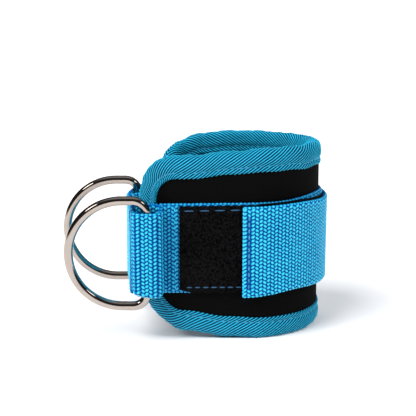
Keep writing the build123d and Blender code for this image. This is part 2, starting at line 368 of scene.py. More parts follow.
class Finish(Enum):
    """The finishes that the cuff uses."""

    # Painted shade: the ground's blue is far darker than the yarn's, so that the gaps between the
    # floats read as shade.
    WEBBING_GROUND = YarnFinish(
        "webbing_ground", (0.000, 0.045, 0.210, 1.0), (0.000, 0.100, 0.340, 1.0), 0.8, 0.0, 0.1
    )
    # Painted highlight and shade: the light blue marks the tops of the floats and the shade blue their
    # sides.
    WEBBING_YARN = YarnFinish(
        "webbing_yarn",
        (0.000, 0.160, 0.450, 1.0),
        (0.050, 0.750, 0.970, 1.0),
        roughness=0.34,
        sheen=0.0,
        shine=0.32,
        painted_light_share=1.0,
        painted_light_power=2.5,
    )
    # Painted shade: a darker copy of the webbing yarn, which darkens the whole base webbing as if it
    # lay in shade.
    SHADED_BASE_YARN = YarnFinish(
        "shaded_base_yarn",
        (0.000, 0.110, 0.350, 1.0),
        (0.030, 0.470, 0.720, 1.0),
        roughness=0.40,
        sheen=0.0,
        shine=0.25,
        painted_light_share=1.0,
        painted_light_power=2.0,
    )
    # Painted shade and highlight: the near-black blue fills the grooves between the ribs and the light
    # blue their crests.
    TWILL = YarnFinish(
        "binding_twill",
        (0.000, 0.016, 0.065, 1.0),
        (0.022, 0.530, 0.800, 1.0),
        roughness=0.45,
        sheen=0.0,
        shine=0.15,
        painted_light_share=1.15,
        painted_light_power=2.6,
    )
    THREAD = YarnFinish("seam_thread", (0.01, 0.14, 0.32, 1.0), (0.09, 0.44, 0.68, 1.0), 0.45)
    PATCH_THREAD = YarnFinish("patch_thread", (0.01, 0.05, 0.11, 1.0), (0.04, 0.12, 0.24, 1.0))
    NEOPRENE = KnitFinish(
        "napped_neoprene", (0.0018, 0.0018, 0.0020, 1.0), (0.0045, 0.0044, 0.0045, 1.0), 2400.0, 0.00004
    )
    LINING = KnitFinish(
        "lining_knit", (0.001, 0.003, 0.006, 1.0), (0.004, 0.009, 0.016, 1.0), 1800.0, 0.00006
    )
    LOOP_PILE = KnitFinish(
        "loop_pile_face", (0.0, 0.0, 0.0, 1.0), (0.0078, 0.0074, 0.0080, 1.0), 900.0, 0.0004,
        contrast=3.4,
    )
    HOOK_TAPE = KnitFinish(
        "hook_tape_face", (0.001, 0.001, 0.001, 1.0), (0.004, 0.004, 0.004, 1.0), 1100.0, 0.0003, 0.7
    )
    NICKEL = PlatedFinish()

    def material(self) -> bpy.types.Material:
        """The finish's material, built once."""
        found = bpy.data.materials.get(self.value.name)
        return found or self.value.build()


# ---- plan routes ----
def ease(share: Rows) -> Rows:
    """A share from 0 to 1 with level ends."""
    return share * share * (3 - 2 * share)


def pointing(angle: Rows) -> Rows:
    """Plan directions at angles in radians, one row each."""
    return np.column_stack((np.cos(angle), np.sin(angle)))


def turned(out: Rows) -> Rows:
    """Plan directions a quarter turn anticlockwise from others."""
    return np.column_stack((-out[:, 1], out[:, 0]))


def level_rows(plan: Rows) -> Rows:
    """Plan directions as level rows of three."""
    return np.column_stack((plan, np.zeros(len(plan))))


@dataclass(frozen=True)
class Bend:
    """Part of a circle in plan, angles in degrees, anticlockwise."""

    centre: Point
    radius: float
    start: float
    stop: float

    @property
    def length(self) -> float:
        """Length at no offset."""
        return self.radius * math.radians(self.stop - self.start)

    def place(self, along: Rows, offset: Rows) -> tuple[Rows, Rows]:
        """Points and outward directions.

        Args:
            along: distances from the start.
            offset: distances outwards.

        Returns:
            Points and unit outward directions, one row each.
        """
        angle = math.radians(self.start) + along / self.radius
        out = pointing(angle)
        return np.array(self.centre) + out * (self.radius + offset)[:, None], out


@dataclass(frozen=True)
class Run:
    """Straight stretch in plan."""

    start: Point
    stop: Point

    @property
    def length(self) -> float:
        """Length of the stretch."""
        return math.dist(self.start, self.stop)

    def place(self, along: Rows, offset: Rows) -> tuple[Rows, Rows]:
        """Points and outward directions, as for a bend."""
        ahead = (np.array(self.stop) - np.array(self.start)) / self.length
        out = np.array((ahead[1], -ahead[0]))
        points = np.array(self.start) + along[:, None] * ahead + offset[:, None] * out
        return points, np.broadcast_to(out, points.shape).copy()


class Route:
    """Bends and runs joined end to end, anticlockwise, with the outside on the right."""

    def __init__(self, pieces: Sequence[Union[Bend, Run]]) -> None:
        """Keep the pieces and where each one starts."""
        self.pieces = list(pieces)
        self.starts = np.concatenate(([0.0], np.cumsum([piece.length for piece in self.pieces])))

    @property
    def length(self) -> float:
        """Whole length."""
        return float(self.starts[-1])

    def place(self, distance: Rows, offset: Union[Rows, float] = 0.0) -> tuple[Rows, Rows]:
        """Points along the route.

        Args:
            distance: distances from its start; past an end, its last piece is carried on.
            offset: distances outwards.

        Returns:
            Plan points and unit outward directions, one row each.
        """
        distance = np.asarray(distance, float)
        offset = np.broadcast_to(np.asarray(offset, float), distance.shape)
        points = np.zeros((len(distance), 2))
        out = np.zeros((len(distance), 2))
        owner = np.clip(np.searchsorted(self.starts, distance, "right") - 1, 0, len(self.pieces) - 1)
        for index, piece in enumerate(self.pieces):
            mine = owner == index
            if mine.any():
                along = distance[mine] - self.starts[index]
                points[mine], out[mine] = piece.place(along, offset[mine])
        return points, out


def rounded_loop(corners: Sequence[Point], radius: float) -> Route:
    """A closed route round rounded corners.

    Args:
        corners: corner points, anticlockwise.
        radius: radius of every corner.

    Returns:
        The route, starting after the first corner.
    """
    count = len(corners)
    bends: list[Bend] = []
    for index in range(count):
        before, corner, after = (
            np.array(corners[(index + step) % count], float) for step in (-1, 0, 1)
        )
        inward = (before - corner) / np.linalg.norm(before - corner)
        onward = (after - corner) / np.linalg.norm(after - corner)
        half = math.acos(float(np.clip(inward @ onward, -1, 1))) / 2
        middle = (inward + onward) / np.linalg.norm(inward + onward)
        centre = corner + middle * radius / math.sin(half)
        heading_in = math.degrees(math.atan2(-inward[1], -inward[0]))
        turn = 180 - 2 * math.degrees(half)
        bends.append(Bend(tuple(centre), radius, heading_in - 90, heading_in - 90 + turn))
    pieces: list[Union[Bend, Run]] = []
    for index, bend in enumerate(bends):
        following = bends[(index + 1) % count]
        leave, _ = bend.place(np.array([bend.length]), np.zeros(1))
        arrive, _ = following.place(np.zeros(1), np.zeros(1))
        pieces += [bend, Run(tuple(leave[0]), tuple(arrive[0]))]
    return Route(pieces)


# ---- meshes ----
@dataclass
class Datum:
    """The limb axis and the pad's main sizes, read from the frame, in millimetres."""

    axis: Point = field(init=False)
    pad_radius: float = field(init=False)
    pad_height: float = field(init=False)

    def __post_init__(self) -> None:
        """Work the sizes out from the cover's and the binding's boxes."""
        front_low, front_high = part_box("cover_front")
        _, back_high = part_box("cover_back")
        self.pad_radius = (back_high.y - front_low.y) / 2 / MM
        self.axis = (
            front_high.x / MM - self.pad_radius,
            (back_high.y + front_low.y) / 2 / MM,
        )
        self.pad_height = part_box("edge_binding_front")[1].z / MM

    def metres(self, points: Rows) -> Rows:
        """Points from the limb axis, in the row frame's metres."""
        return (points + np.array((*self.axis, 0.0))) * MM

    def spot(self, x: float, y: float, z: float = 50.0) -> tuple[float, float, float]:
        """One point in the row frame's metres."""
        return tuple(self.metres(np.array((x, y, z))))

    def heights(self, node: str) -> tuple[float, float]:
        """A node's lowest and highest level, in millimetres."""
        low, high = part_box(node)
        return low.z / MM, high.z / MM


class Workshop:
    """Makes Blender objects from millimetre arrays."""

    def __init__(self, datum: Datum) -> None:
        """Keep the datum."""
        self.datum = datum

    def solid(self, name: str, points: Rows, faces: list[list[int]], finish: Finish) -> Piece:
        """Make a mesh object.

        Args:
            name: the object's name.
            points: vertices, one row each.
            faces: vertex numbers of each face, outwards anticlockwise.
            finish: its finish.

        Returns:
            The linked object.
        """
        mesh = bpy.data.meshes.new(name)
        mesh.from_pydata(self.datum.metres(points).tolist(), [], faces)
        mesh.polygons.foreach_set("use_smooth", [True] * len(mesh.polygons))
        mesh.materials.append(finish.material())
        mesh.update()
        made = bpy.data.objects.new(name, mesh)
        bpy.context.scene.collection.objects.link(made)
        return made

    @staticmethod
    def join(name: str, parts: Sequence[Piece]) -> Piece:
        """Join objects into one.

        Args:
            name: the joined object's name.
            parts: objects that sit at the origin.

        Returns:
            The joined object.
        """
        bpy.ops.object.select_all(action="DESELECT")
        for part in parts:
            part.select_set(True)
        bpy.context.view_layer.objects.active = parts[0]
        bpy.ops.object.join()
        parts[0].name = name
        parts[0].data.name = name
        return parts[0]

    @staticmethod
    def dress(piece: Piece, slot: str, *nodes: str) -> Piece:
        """Finish a cloth piece: keep its place at rest and hide the CAD nodes that it replaces.

        Args:
            piece: the piece.
            slot: the record's material slot; not used.
            nodes: CAD nodes that it replaces.

        Returns:
            The same piece.
        """
        mesh = piece.data
        places = np.zeros(len(mesh.vertices) * 3, np.float32)
        mesh.vertices.foreach_get("co", places)
        stored = mesh.attributes.get(REST) or mesh.attributes.new(REST, "FLOAT_VECTOR", "POINT")
        stored.data.foreach_set("vector", places)
        if nodes:
            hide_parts(*nodes)
        return piece

    @staticmethod
    def make_outward(piece: Piece) -> None:
        """Point the faces of a closed mesh outwards."""
        work = bmesh.new()
        work.from_mesh(piece.data)
        bmesh.ops.recalc_face_normals(work, faces=work.faces)
        work.to_mesh(piece.data)
        work.free()


def grid_faces(rows: int, columns: int, wrap_rows: bool, wrap_columns: bool) -> list[list[int]]:
    """Quads over a grid of vertices stored row by row.

    Args:
        rows: rows of vertices.
        columns: vertices in each row.
        wrap_rows: whether the last row joins the first.
        wrap_columns: whether the last column joins the first.

    Returns:
        Vertex numbers of each quad.
    """
    faces = []
    for row in range(rows if wrap_rows else rows - 1):
        upper = (row + 1) % rows
        for column in range(columns if wrap_columns else columns - 1):
            right = (column + 1) % columns
            ring = ((row, column), (upper, column), (upper, right), (row, right))
            faces.append([down * columns + across for down, across in ring])
    return faces


# ---- what repeats: a Geometry Nodes tree that lays threads ----
@dataclass(frozen=True)
class ThreadSize:
    """Size of one laid thread, in millimetres, and how finely it is cut."""

    length: float
    width: float
    height: float
    around: int = 6
    rings: int = 4
    unevenness: float = 0.08


class ThreadLayer:
    """Lays one rounded thread at each site, along and out from directions kept on the sites."""

    TREE = "lay_threads"
    INPUTS = ("Length", "Width", "Height", "Unevenness")
    AIMS = ("out", "along")

    def __init__(self, workshop: Workshop) -> None:
        """Keep the workshop and build the tree."""
        self.workshop = workshop
        self.tree = self._tree()

    def _tree(self) -> bpy.types.NodeTree:
        """Build the Geometry Nodes tree."""
        tree = bpy.data.node_groups.new(self.TREE, "GeometryNodeTree")
        face = tree.interface
        face.new_socket("Geometry", in_out="INPUT", socket_type="NodeSocketGeometry")
        for name in self.INPUTS:
            face.new_socket(name, in_out="INPUT", socket_type="NodeSocketFloat")
        for name in ("Around", "Rings", "Seed"):
            face.new_socket(name, in_out="INPUT", socket_type="NodeSocketInt")
        face.new_socket("Material", in_out="INPUT", socket_type="NodeSocketMaterial")
        face.new_socket("Geometry", in_out="OUTPUT", socket_type="NodeSocketGeometry")

        def add(kind: str, values: dict[Any, Any], **settings: Any) -> Any:
            """Add a node and give its outputs."""
            return add_node(tree, kind, settings, values).outputs

        given = add("NodeGroupInput", {})
        round_thread = {"Segments": given["Around"], "Rings": given["Rings"], "Radius": 0.5}
        thread = add("GeometryNodeMeshUVSphere", round_thread)
        # Painted light: each thread keeps its height above its middle, which the yarn finishes turn
        # into a painted highlight on top and painted shade at the sides.
        split = add("ShaderNodeSeparateXYZ", {0: add("GeometryNodeInputPosition", {})[0]})
        rib = add("ShaderNodeMath", {0: split["Z"], 1: 2.0}, operation="MULTIPLY")
        marked = {"Geometry": thread["Mesh"], "Name": RIB, "Value": rib[0]}
        thread = add("GeometryNodeStoreNamedAttribute", marked, data_type="FLOAT", domain="POINT")
        aims = {
            index: add(
                "GeometryNodeInputNamedAttribute", {"Name": name}, data_type="FLOAT_VECTOR"
            )["Attribute"]
            for index, name in enumerate(self.AIMS)
        }
        turn = add("FunctionNodeAxesToRotation", aims, primary_axis="Z", secondary_axis="X")
        size = add("ShaderNodeCombineXYZ", dict(zip("XYZ", (given[name] for name in self.INPUTS))))
        least, most = (
            add("ShaderNodeMath", {0: 1.0, 1: given["Unevenness"]}, operation=operation)[0]
            for operation in ("SUBTRACT", "ADD")
        )
        limits = {2: least, 3: most, "Seed": given["Seed"]}
        uneven = add("FunctionNodeRandomValue", limits, data_type="FLOAT")[1]
        scaled = add("ShaderNodeVectorMath", {0: size[0], "Scale": uneven}, operation="SCALE")
        placed = {
            "Points": given["Geometry"],
            "Instance": thread["Geometry"],
            "Rotation": turn[0],
            "Scale": scaled["Vector"],
        }
        result = add("GeometryNodeInstanceOnPoints", placed)[0]
        for kind in ("GeometryNodeRealizeInstances", "GeometryNodeSetShadeSmooth"):
            result = add(kind, {0: result})[0]
        result = add("GeometryNodeSetMaterial", {0: result, "Material": given["Material"]})[0]
        add("NodeGroupOutput", {0: result})
        return tree

    def lay(
        self,
        name: str,
        sites: Rows,
        out: Rows,
        along: Rows,
        size: ThreadSize,
        finish: Finish,
        seed: int = 1,
    ) -> Piece:
        """Lay threads and turn them into a plain mesh.

        Args:
            name: the object's name.
            sites: middle of each thread, in millimetres from the limb axis.
            out: outward direction at each site.
            along: direction of each thread.
            size: the thread's size.
            finish: its finish.
            seed: seed of its unevenness.

        Returns:
            The finished object, with no modifier.
        """
        mesh = bpy.data.meshes.new(name + "_sites")
        mesh.from_pydata(self.workshop.datum.metres(sites).tolist(), [], [])
        for label, rows in zip(self.AIMS, (out, along)):
            stored = mesh.attributes.new(label, "FLOAT_VECTOR", "POINT")
            stored.data.foreach_set("vector", np.asarray(rows, np.float32).ravel())
        made = bpy.data.objects.new(name, mesh)
        bpy.context.scene.collection.objects.link(made)
        modifier = made.modifiers.new("threads", "NODES")
        modifier.node_group = self.tree
        values = {
            "Length": size.length * MM,
            "Width": size.width * MM,
            "Height": size.height * MM,
            "Unevenness": size.unevenness,
            "Around": size.around,
            "Rings": size.rings,
            "Seed": seed,
            "Material": finish.material(),
        }
        for item in self.tree.interface.items_tree:
            if item.in_out == "INPUT" and item.name in values:
                modifier[item.identifier] = values[item.name]
        bpy.context.view_layer.update()
        evaluated = made.evaluated_get(bpy.context.evaluated_depsgraph_get())
        final = bpy.data.meshes.new_from_object(evaluated)
        made.modifiers.clear()
        made.data = final
        final.name = name
        for label in self.AIMS:
            final.attributes.remove(final.attributes[label])
        return made


# ---- webbing ----
class Face(Enum):
    """The two faces of a band."""

    OUTER = 1
    INNER = -1


@dataclass
class Band:
    """A flat band standing on edge along a route."""

    route: Route
    start: float
    stop: float
    low: Level
    high: Level
    near: float
    far: float
    sway: float = 0.0
    seam_at: float = -100.0
    seam_dip: float = 0.0
    seam_width: float = 1.0

    def lean(self, distance: Rows, share: Rows) -> Rows:
        """Small unevenness of the band's lie, in millimetres outwards.

        Args:
            distance: distances along the route.
            share: 0 at the lower edge and 1 at the upper.

        Returns:
            One offset each.
        """
        wave = np.sin(distance / 11.0) * np.cos(share * 5.0 + distance / 23.0)
        wave = wave + 0.6 * np.sin(distance / 6.1 + share * 3.0)
        pull = np.exp(-(((distance - self.seam_at) / self.seam_width) ** 2))
        reach = np.clip(np.minimum(share, 1 - share) / 0.10, 0, 1)
        return self.sway * wave - self.seam_dip * pull * reach

    def at(self, distance: Rows, share: Rows, offset: Rows) -> tuple[Rows, Rows, Rows]:
        """Points on or in the band.

        Args:
            distance: distances along the route.
            share: 0 at the lower edge and 1 at the upper.
            offset: distances outwards from the route.

        Returns:
            Points, outward directions and directions along the route, one row each.
        """
        plan, out = self.route.place(distance, offset + self.lean(distance, share))
        low, high = self.low(distance), self.high(distance)
        points = np.column_stack((plan, low + share * (high - low)))
        return points, level_rows(out), level_rows(turned(out))


def steady(level: float) -> Level:
    """A level that doesn't change along a band."""
    return lambda distance: np.full(np.shape(distance), level, float)


def through(*places: tuple[float, float]) -> Level:
    """A level that passes smoothly through given places along a band.

    Args:
        places: distance and level of each place, in order.

    Returns:
        The level as a function of distance.
    """
    spots, levels = (np.array(column) for column in zip(*places))

    def level(distance: Rows) -> Rows:
        """The level at each distance."""
        flat = np.asarray(distance, float)
        index = np.clip(np.searchsorted(spots, flat, "right") - 1, 0, len(spots) - 2)
        share = np.clip((flat - spots[index]) / (spots[index + 1] - spots[index]), 0, 1)
        return levels[index] + ease(share) * (levels[index + 1] - levels[index])

    return level


@dataclass
class WebbingMaker:
    """Weaves webbing: a ground band with rows of slanted yarn floats and twisted selvages."""

    workshop: Workshop
    layer: ThreadLayer
    column: float = 2.12
    row: float = 2.18
    slant: float = 38.0
    stagger: float = 0.42
    step: float = 2.0
    margin: float = 0.015
    edge_round: float = 0.25
    sunk: float = 0.05
    seam_clear: float = 0.4
    seam_reach: float = 0.42
    selvage_in: float = 0.35
    selvage_tilt: float = 26.0
    float_seed: int = 7
    selvage_seed: int = 3
    yarn: ThreadSize = ThreadSize(2.9, 1.8, 1.6, 8, 5)
    selvage: ThreadSize = ThreadSize(2.5, 1.5, 1.6, 8, 5)

    def ground(
        self, name: str, band: Band, finish: Finish, closed: bool = False, levels: int = 9
    ) -> Piece:
        """A rounded band with closed ends.

        Args:
            name: the object's name.
            band: where it lies.
            finish: its finish.
            closed: whether its route is a loop.
            levels: points up each face.

        Returns:
            The object.
        """
        count = max(3, int(math.ceil((band.stop - band.start) / self.step)) + 1)
        stations = np.linspace(band.start, band.stop, count)
        if closed:
            stations = stations[:-1]
        shares = np.linspace(0.012, 0.988, levels)
        middle = (band.near + band.far) / 2
        near, far = band.near + self.edge_round, band.far - self.edge_round
        section = [(share, band.far) for share in shares]
        section += [(0.997, far), (1.0, middle), (0.997, near)]
        section += [(share, band.near) for share in shares[::-1]]
        section += [(0.003, near), (0.0, middle), (0.003, far)]
        share, offset = (np.tile(column, len(stations)) for column in zip(*section))
        points, _, _ = band.at(np.repeat(stations, len(section)), share, offset)
        faces = grid_faces(len(stations), len(section), closed, True)
        if not closed:
            faces.append(list(range(len(section))))
            last = (len(stations) - 1) * len(section)
            faces.append([last + index for index in reversed(range(len(section)))])
        return self.workshop.solid(name, points, faces, finish)

    def floats(
        self,
        name: str,
        band: Band,
        face: Face,
        closed: bool = False,
        yarn_with_painted_light: Finish = Finish.WEBBING_YARN,
    ) -> Piece:
        """Rows of slanted floats on one face, in columns that make Vs.

        Args:
            name: the object's name.
            band: the band they lie on.
            face: which face.
            closed: whether its route is a loop.
            yarn_with_painted_light: the yarn's finish, with painted highlight and shade in its colour.

        Returns:
            The object.
        """
        first, last = self.margin, 1 - self.margin
        width = float(band.high(np.array([band.start]))[0] - band.low(np.array([band.start]))[0])
        rows = max(2, round(width * (last - first) / self.row))
        pitch = self.column
        if closed:
            pitch = band.stop / (2 * round(band.stop / pitch / 2))
        columns = np.arange(
            math.ceil(band.start / pitch - 0.5), math.ceil(band.stop / pitch - 0.5 - 1e-6)
        )
        column, row = (item.ravel() for item in np.meshgrid(columns, np.arange(rows)))
        distance = (column + 0.5) * pitch
        share = first + (row + 0.5) / rows * (last - first)
        outer = face is Face.OUTER
        offset = np.full(len(distance), band.far - self.sunk if outer else band.near + self.sunk)
        sewn = np.abs(distance - band.seam_at) < pitch * self.seam_clear
        sewn &= np.abs(share - 0.5) < self.seam_reach
        if outer:
            kept = (column, distance, share, offset)
            column, distance, share, offset = (item[~sewn] for item in kept)
        sites, out, along = band.at(distance, share, offset)
        lean = np.where(column % 2 == 0, 1.0, -1.0) * math.radians(self.slant)
        thread = along * np.cos(lean)[:, None] + np.array((0, 0, 1.0)) * np.sin(lean)[:, None]
        sites[:, 2] += np.where(column % 2 == 0, self.stagger, -self.stagger)
        facing = out * face.value
        return self.layer.lay(name, sites, facing, thread, self.yarn, yarn_with_painted_light, self.float_seed)

    def selvages(self, name: str, band: Band, yarn_with_painted_light: Finish = Finish.WEBBING_YARN) -> Piece:
        """Twisted yarns along both edges of a band.

        Args:
            name: the object's name.
            band: the band.
            yarn_with_painted_light: the yarn's finish, with painted highlight and shade in its colour.

        Returns:
            The object.
        """
        first = math.ceil(band.start / self.row - 0.5)
        last = math.ceil(band.stop / self.row - 0.5)
        distance = (np.arange(first, last) + 0.5) * self.row
        middle = (band.near + band.far) / 2
        layers = []
        for share, side in ((0.0, -1.0), (1.0, 1.0)):
            sites, out, along = band.at(
                distance, np.full(len(distance), share), np.full(len(distance), middle)
            )
            sites[:, 2] -= side * self.selvage_in
            lean = math.radians(side * self.selvage_tilt)
            layers.append((sites, out, along * math.cos(lean) + out * math.sin(lean)))
        sites, out, along = (np.vstack(rows) for rows in zip(*layers))
        return self.layer.lay(name, sites, out, along, self.selvage, yarn_with_painted_light, self.selvage_seed)

    def weave(
        self,
        name: str,
        band: Band,
        faces: Sequence[Face],
        closed: bool = False,
        yarn_with_painted_light: Finish = Finish.WEBBING_YARN,
    ) -> Piece:
        """A finished piece of webbing.

        Args:
            name: the object's name.
            band: where it lies.
            faces: the faces that get floats.
            closed: whether its route is a loop.
            yarn_with_painted_light: the yarn's finish, with painted highlight and shade in its colour.

        Returns:
            The joined object.
        """
        # The dark ground shows only between the floats, as painted shade.
        parts = [self.ground(name, band, Finish.WEBBING_GROUND, closed)]
        parts += [self.floats(f"{name}_{face.name}", band, face, closed, yarn_with_painted_light) for face in faces]
        parts.append(self.selvages(name + "_selvage", band, yarn_with_painted_light))
        return self.workshop.dress(self.workshop.join(name, parts), "blue_webbing")


# ---- pad ----
@dataclass
class Pad:
    """Foam sandwich: black cover outside, dark lining inside, twill binding round its edge."""

    CLOTH: ClassVar[dict[str, Any]] = {
        "quality": 4,
        "mass": 0.3,
        "tension_stiffness": 40,
        "compression_stiffness": 40,
        "bending_stiffness": 2,
        "use_pressure": True,
        "uniform_pressure_force": 4.0,
        "vertex_group_mass": "sewn",
    }

    workshop: Workshop
    layer: ThreadLayer
    thickness: float = 6.0
    lining: float = 1.0
    end_radius: float = 30.0
    front_flat: float = 33.0
    back_flat: float = 22.0
    front_turn: float = 60.0
    back_turn: float = 80.0
    corner: float = 26.0
    tape_reach: float = 12.0
    seam_depth: float = 9.0
    rib_pitch: float = 2.5
    rib_relief: float = 0.42
    rib_samples: int = 6
    scallop: float = 0.35
    pucker: float = 0.22
    pucker_pitch: float = 11.0
    rib_slope: float = 1.55
    inset: float = 4.2
    end_spread: float = 0.36
    end_push: float = 2.0
    puff: float = 0.9
    puff_frames: int = 20
    cell: float = 2.0
    sewn_low: float = 26.0
    sewn_high: float = 79.0
    under_tape: float = 1.5
    beyond_tape: float = 3.0
    tape_thickness: float = 0.55
    tape_rows: int = 29
    roll: float = 3.7
    roll_rise: float = 0.62
    seam_seed: int = 5
    stitch: ThreadSize = ThreadSize(2.7, 0.8, 0.6, 8, 5, 0.15)
    stitch_pitch: float = 4.0

    def __post_init__(self) -> None:
        """Lay out the pad's outer face in plan."""
        radius = self.workshop.datum.pad_radius
        self.height = self.workshop.datum.pad_height
        self.route = Route(
            [
                Bend((-self.front_flat, self.end_radius - radius), self.end_radius,
                     270 - self.front_turn, 270),
                Run((-self.front_flat, -radius), (0, -radius)),
                Bend((0, 0), radius, -90, 90),
                Run((0, radius), (-self.back_flat, radius)),
                Bend((-self.back_flat, radius - self.end_radius), self.end_radius,
                     90, 90 + self.back_turn),
            ]
        )

    def flat(self, points: Rows, offset: Rows) -> tuple[Rows, Rows]:
        """Bend points of the unrolled pad into place.

        Args:
            points: distance and height of each point.
            offset: distance out from the outer face.

        Returns:
            Points from the limb axis and outward directions.
        """
        plan, out = self.route.place(points[:, 0], offset)
        level = points[:, 1] + self.sag(points[:, 0], points[:, 1])
        return np.column_stack((plan, level)), level_rows(out)

    def sag(self, distance: Rows, height: Rows) -> Rows:
        """How far the soft pad's edges rise or droop from true.

        Args:
            distance: distances round the pad.
            height: heights on the pad.

        Returns:
            Rise at each point.
        """
        front, right = self.route.starts[1], self.route.starts[2]
        end = self.route.length
        crest = through(
            (0.0, -3.4),
            (front + 4.0, -2.4),
            (front + 24.0, 0.0),
            (right + 12.0, 1.3),
            (right + 46.0, 0.9),
            (right + 110.0, 0.0),
            (end - 58.0, 0.0),
            (end - 38.0, -1.6),
            (end - 22.0, -5.4),
            (end, -8.5),
        )(distance)
        crest = crest + 0.4 * np.sin(distance / 3.4) * np.exp(-(((distance - right - 40) / 26) ** 2))
        foot = through((0.0, 12.5), (14.0, 9.5), (30.0, 4.6), (54.0, 1.1), (76.0, 0.0))(distance)
        upper = np.clip((height - 45.0) / (self.height - 15.0 - 45.0), 0, 1)
        lower = np.clip((60.0 - height) / (60.0 - 15.0), 0, 1)
        return crest * ease(upper) + foot * ease(lower)

    def edge_line(self, around: Rows, depth: Rows) -> tuple[Rows, Rows]:
        """Points of the unrolled pad at a depth in from its edge.

        Args:
            around: share of the way round the edge, from 0 to 1.
            depth: distance in from the edge.

        Returns:
            Distance and height of each point, and the direction round the edge there.
        """
        length, height, corner = self.route.length, self.height, self.corner
        long_run, short_run = length - 2 * corner, height - 2 * corner
        arc = corner * math.pi / 2
        spans = [long_run, arc, short_run, arc, long_run, arc, short_run, arc]
        starts = np.concatenate(([0.0], np.cumsum(spans)))
        along = (np.asarray(around) % 1.0) * starts[-1]
        owner = np.clip(np.searchsorted(starts, along, "right") - 1, 0, 7)
        local = along - starts[owner]
        quarter = owner // 2
        from_front_end = np.abs(along - starts[6] - short_run / 2) - short_run / 2
        swell = ease(np.clip(1 - from_front_end / arc, 0, 1))
        depth = depth + swell * (depth * self.end_spread - self.end_push)
        angle = np.radians(-90.0 + 90.0 * quarter)
        centres = np.array(
            [
                (length - corner, corner),
                (length - corner, height - corner),
                (corner, height - corner),
                (corner, corner),
            ]
        )
        backs = np.array([long_run, short_run, long_run, short_run])
        outward = pointing(angle)
        ahead = turned(outward)
        straight = owner % 2 == 0
        radius = (corner - depth)[:, None]
        on_run = centres[quarter] + outward * radius + ahead * (local - backs[quarter])[:, None]
        swing = angle + local / corner
        swung = pointing(swing)
        on_arc = centres[quarter] + swung * radius
        spots = np.where(straight[:, None], on_run, on_arc)
        return spots, np.where(straight[:, None], ahead, turned(swung))

    @property
    def edge_length(self) -> float:
        """Length round the pad's edge."""
        straight = 2 * (self.route.length + self.height - 4 * self.corner)
        return straight + 2 * math.pi * self.corner

    def row_ends(self, height: Rows, inset: float) -> tuple[Rows, Rows]:
        """Where a level row of the unrolled pad starts and stops inside its rounded corners."""
        corner = self.corner - inset
        rise = np.minimum(height - inset, self.height - inset - height)
        short = np.clip(corner - rise, 0, corner)
        shift = inset + corner - np.sqrt(np.maximum(corner * corner - short * short, 0))
        return shift, self.route.length - shift

    def shell(self, name: str, near: float, far: float, inset: float, finish: Finish) -> Piece:
        """A closed sheet of the pad between two offsets.

        Args:
            name: the object's name.
            near: inner offset from the outer face.
            far: outer offset.
            inset: how far its edge stays inside the pad's outline.
            finish: its finish.

        Returns:
            The object.
        """
        rows = int((self.height - 2 * inset) / self.cell) + 1
        columns = int(self.route.length / self.cell) + 1
        turn = np.linspace(0, math.pi, rows)
        even = np.linspace(0, 1, rows)
        share = 0.75 * even + 0.25 * (1 - np.cos(turn)) / 2
        heights = inset + share * (self.height - 2 * inset)
        starts, stops = self.row_ends(heights, inset)
        spread = np.linspace(0, 1, columns)
        distance = starts[:, None] + spread[None, :] * (stops - starts)[:, None]
        spots = np.column_stack((distance.ravel(), np.repeat(heights, columns)))
        outer, _ = self.flat(spots, np.full(len(spots), far))
        inner, _ = self.flat(spots, np.full(len(spots), near))
        count = rows * columns
        faces = [face[::-1] for face in grid_faces(rows, columns, False, False)]
        faces += [[index + count for index in face[::-1]] for face in faces]
        rim = list(range(columns))
        rim += [row * columns + columns - 1 for row in range(1, rows)]
        rim += [(rows - 1) * columns + column for column in range(columns - 2, -1, -1)]
        rim += [row * columns for row in range(rows - 2, 0, -1)]
        for index, here in enumerate(rim):
            following = rim[(index + 1) % len(rim)]
            faces.append([here, here + count, following + count, following])
        made = self.workshop.solid(name, np.vstack((outer, inner)), faces, finish)
        self.outer_count = count
        self.outer_spots = spots
        return made

    def body(self) -> Piece:
        """The cover over its foam, puffed by simulation between the binding and the webbing."""
        piece = self.shell("pad_body", -self.thickness + self.lining, 0.0, self.inset, Finish.NEOPRENE)
        self.inflate(piece)
        nodes = ("foam_front", "foam_back", "cover_front", "cover_back")
        return self.workshop.dress(piece, "neoprene_skin", *nodes)

    def inflate(self, piece: Piece) -> None:
        """Puff the free strips of the cover by a pinned cloth simulation, and apply it.

        Args:
            piece: the cover, outer face first.
        """
        mesh = piece.data
        rest = np.zeros(len(mesh.vertices) * 3)
        mesh.vertices.foreach_get("co", rest)
        rest = rest.reshape(-1, 3)
        distance, level = self.outer_spots[:, 0], self.outer_spots[:, 1]
        depth = np.minimum.reduce(
            [distance, self.route.length - distance, level, self.height - level]
        )
        held = (depth < self.tape_reach - self.under_tape) | (
            (level > self.sewn_low)
            & (level < self.sewn_high)
            & (depth > self.tape_reach + self.beyond_tape)
        )
        sewn = [int(index) for index in np.nonzero(held)[0]]
        sewn += list(range(self.outer_count, len(mesh.vertices)))
        group = piece.vertex_groups.new(name="sewn")
        group.add(sewn, 1.0, "REPLACE")
        cloth = piece.modifiers.new("puff", "CLOTH")
        for key, setting in self.CLOTH.items():
            setattr(cloth.settings, key, setting)
        cloth.settings.effector_weights.gravity = 0.0
        cloth.point_cache.frame_start = 1
        cloth.point_cache.frame_end = self.puff_frames
        scene = bpy.context.scene
        for frame in range(1, self.puff_frames + 1):
            scene.frame_set(frame)
        evaluated = piece.evaluated_get(bpy.context.evaluated_depsgraph_get())
        moved = np.zeros(len(mesh.vertices) * 3)
        evaluated.data.vertices.foreach_get("co", moved)
        travel = moved.reshape(-1, 3) - rest
        size = np.linalg.norm(travel, axis=1)
        cap = self.puff * MM
        travel *= (cap * np.tanh(size / cap) / np.maximum(size, 1e-9))[:, None]
        piece.modifiers.clear()
        piece.vertex_groups.clear()
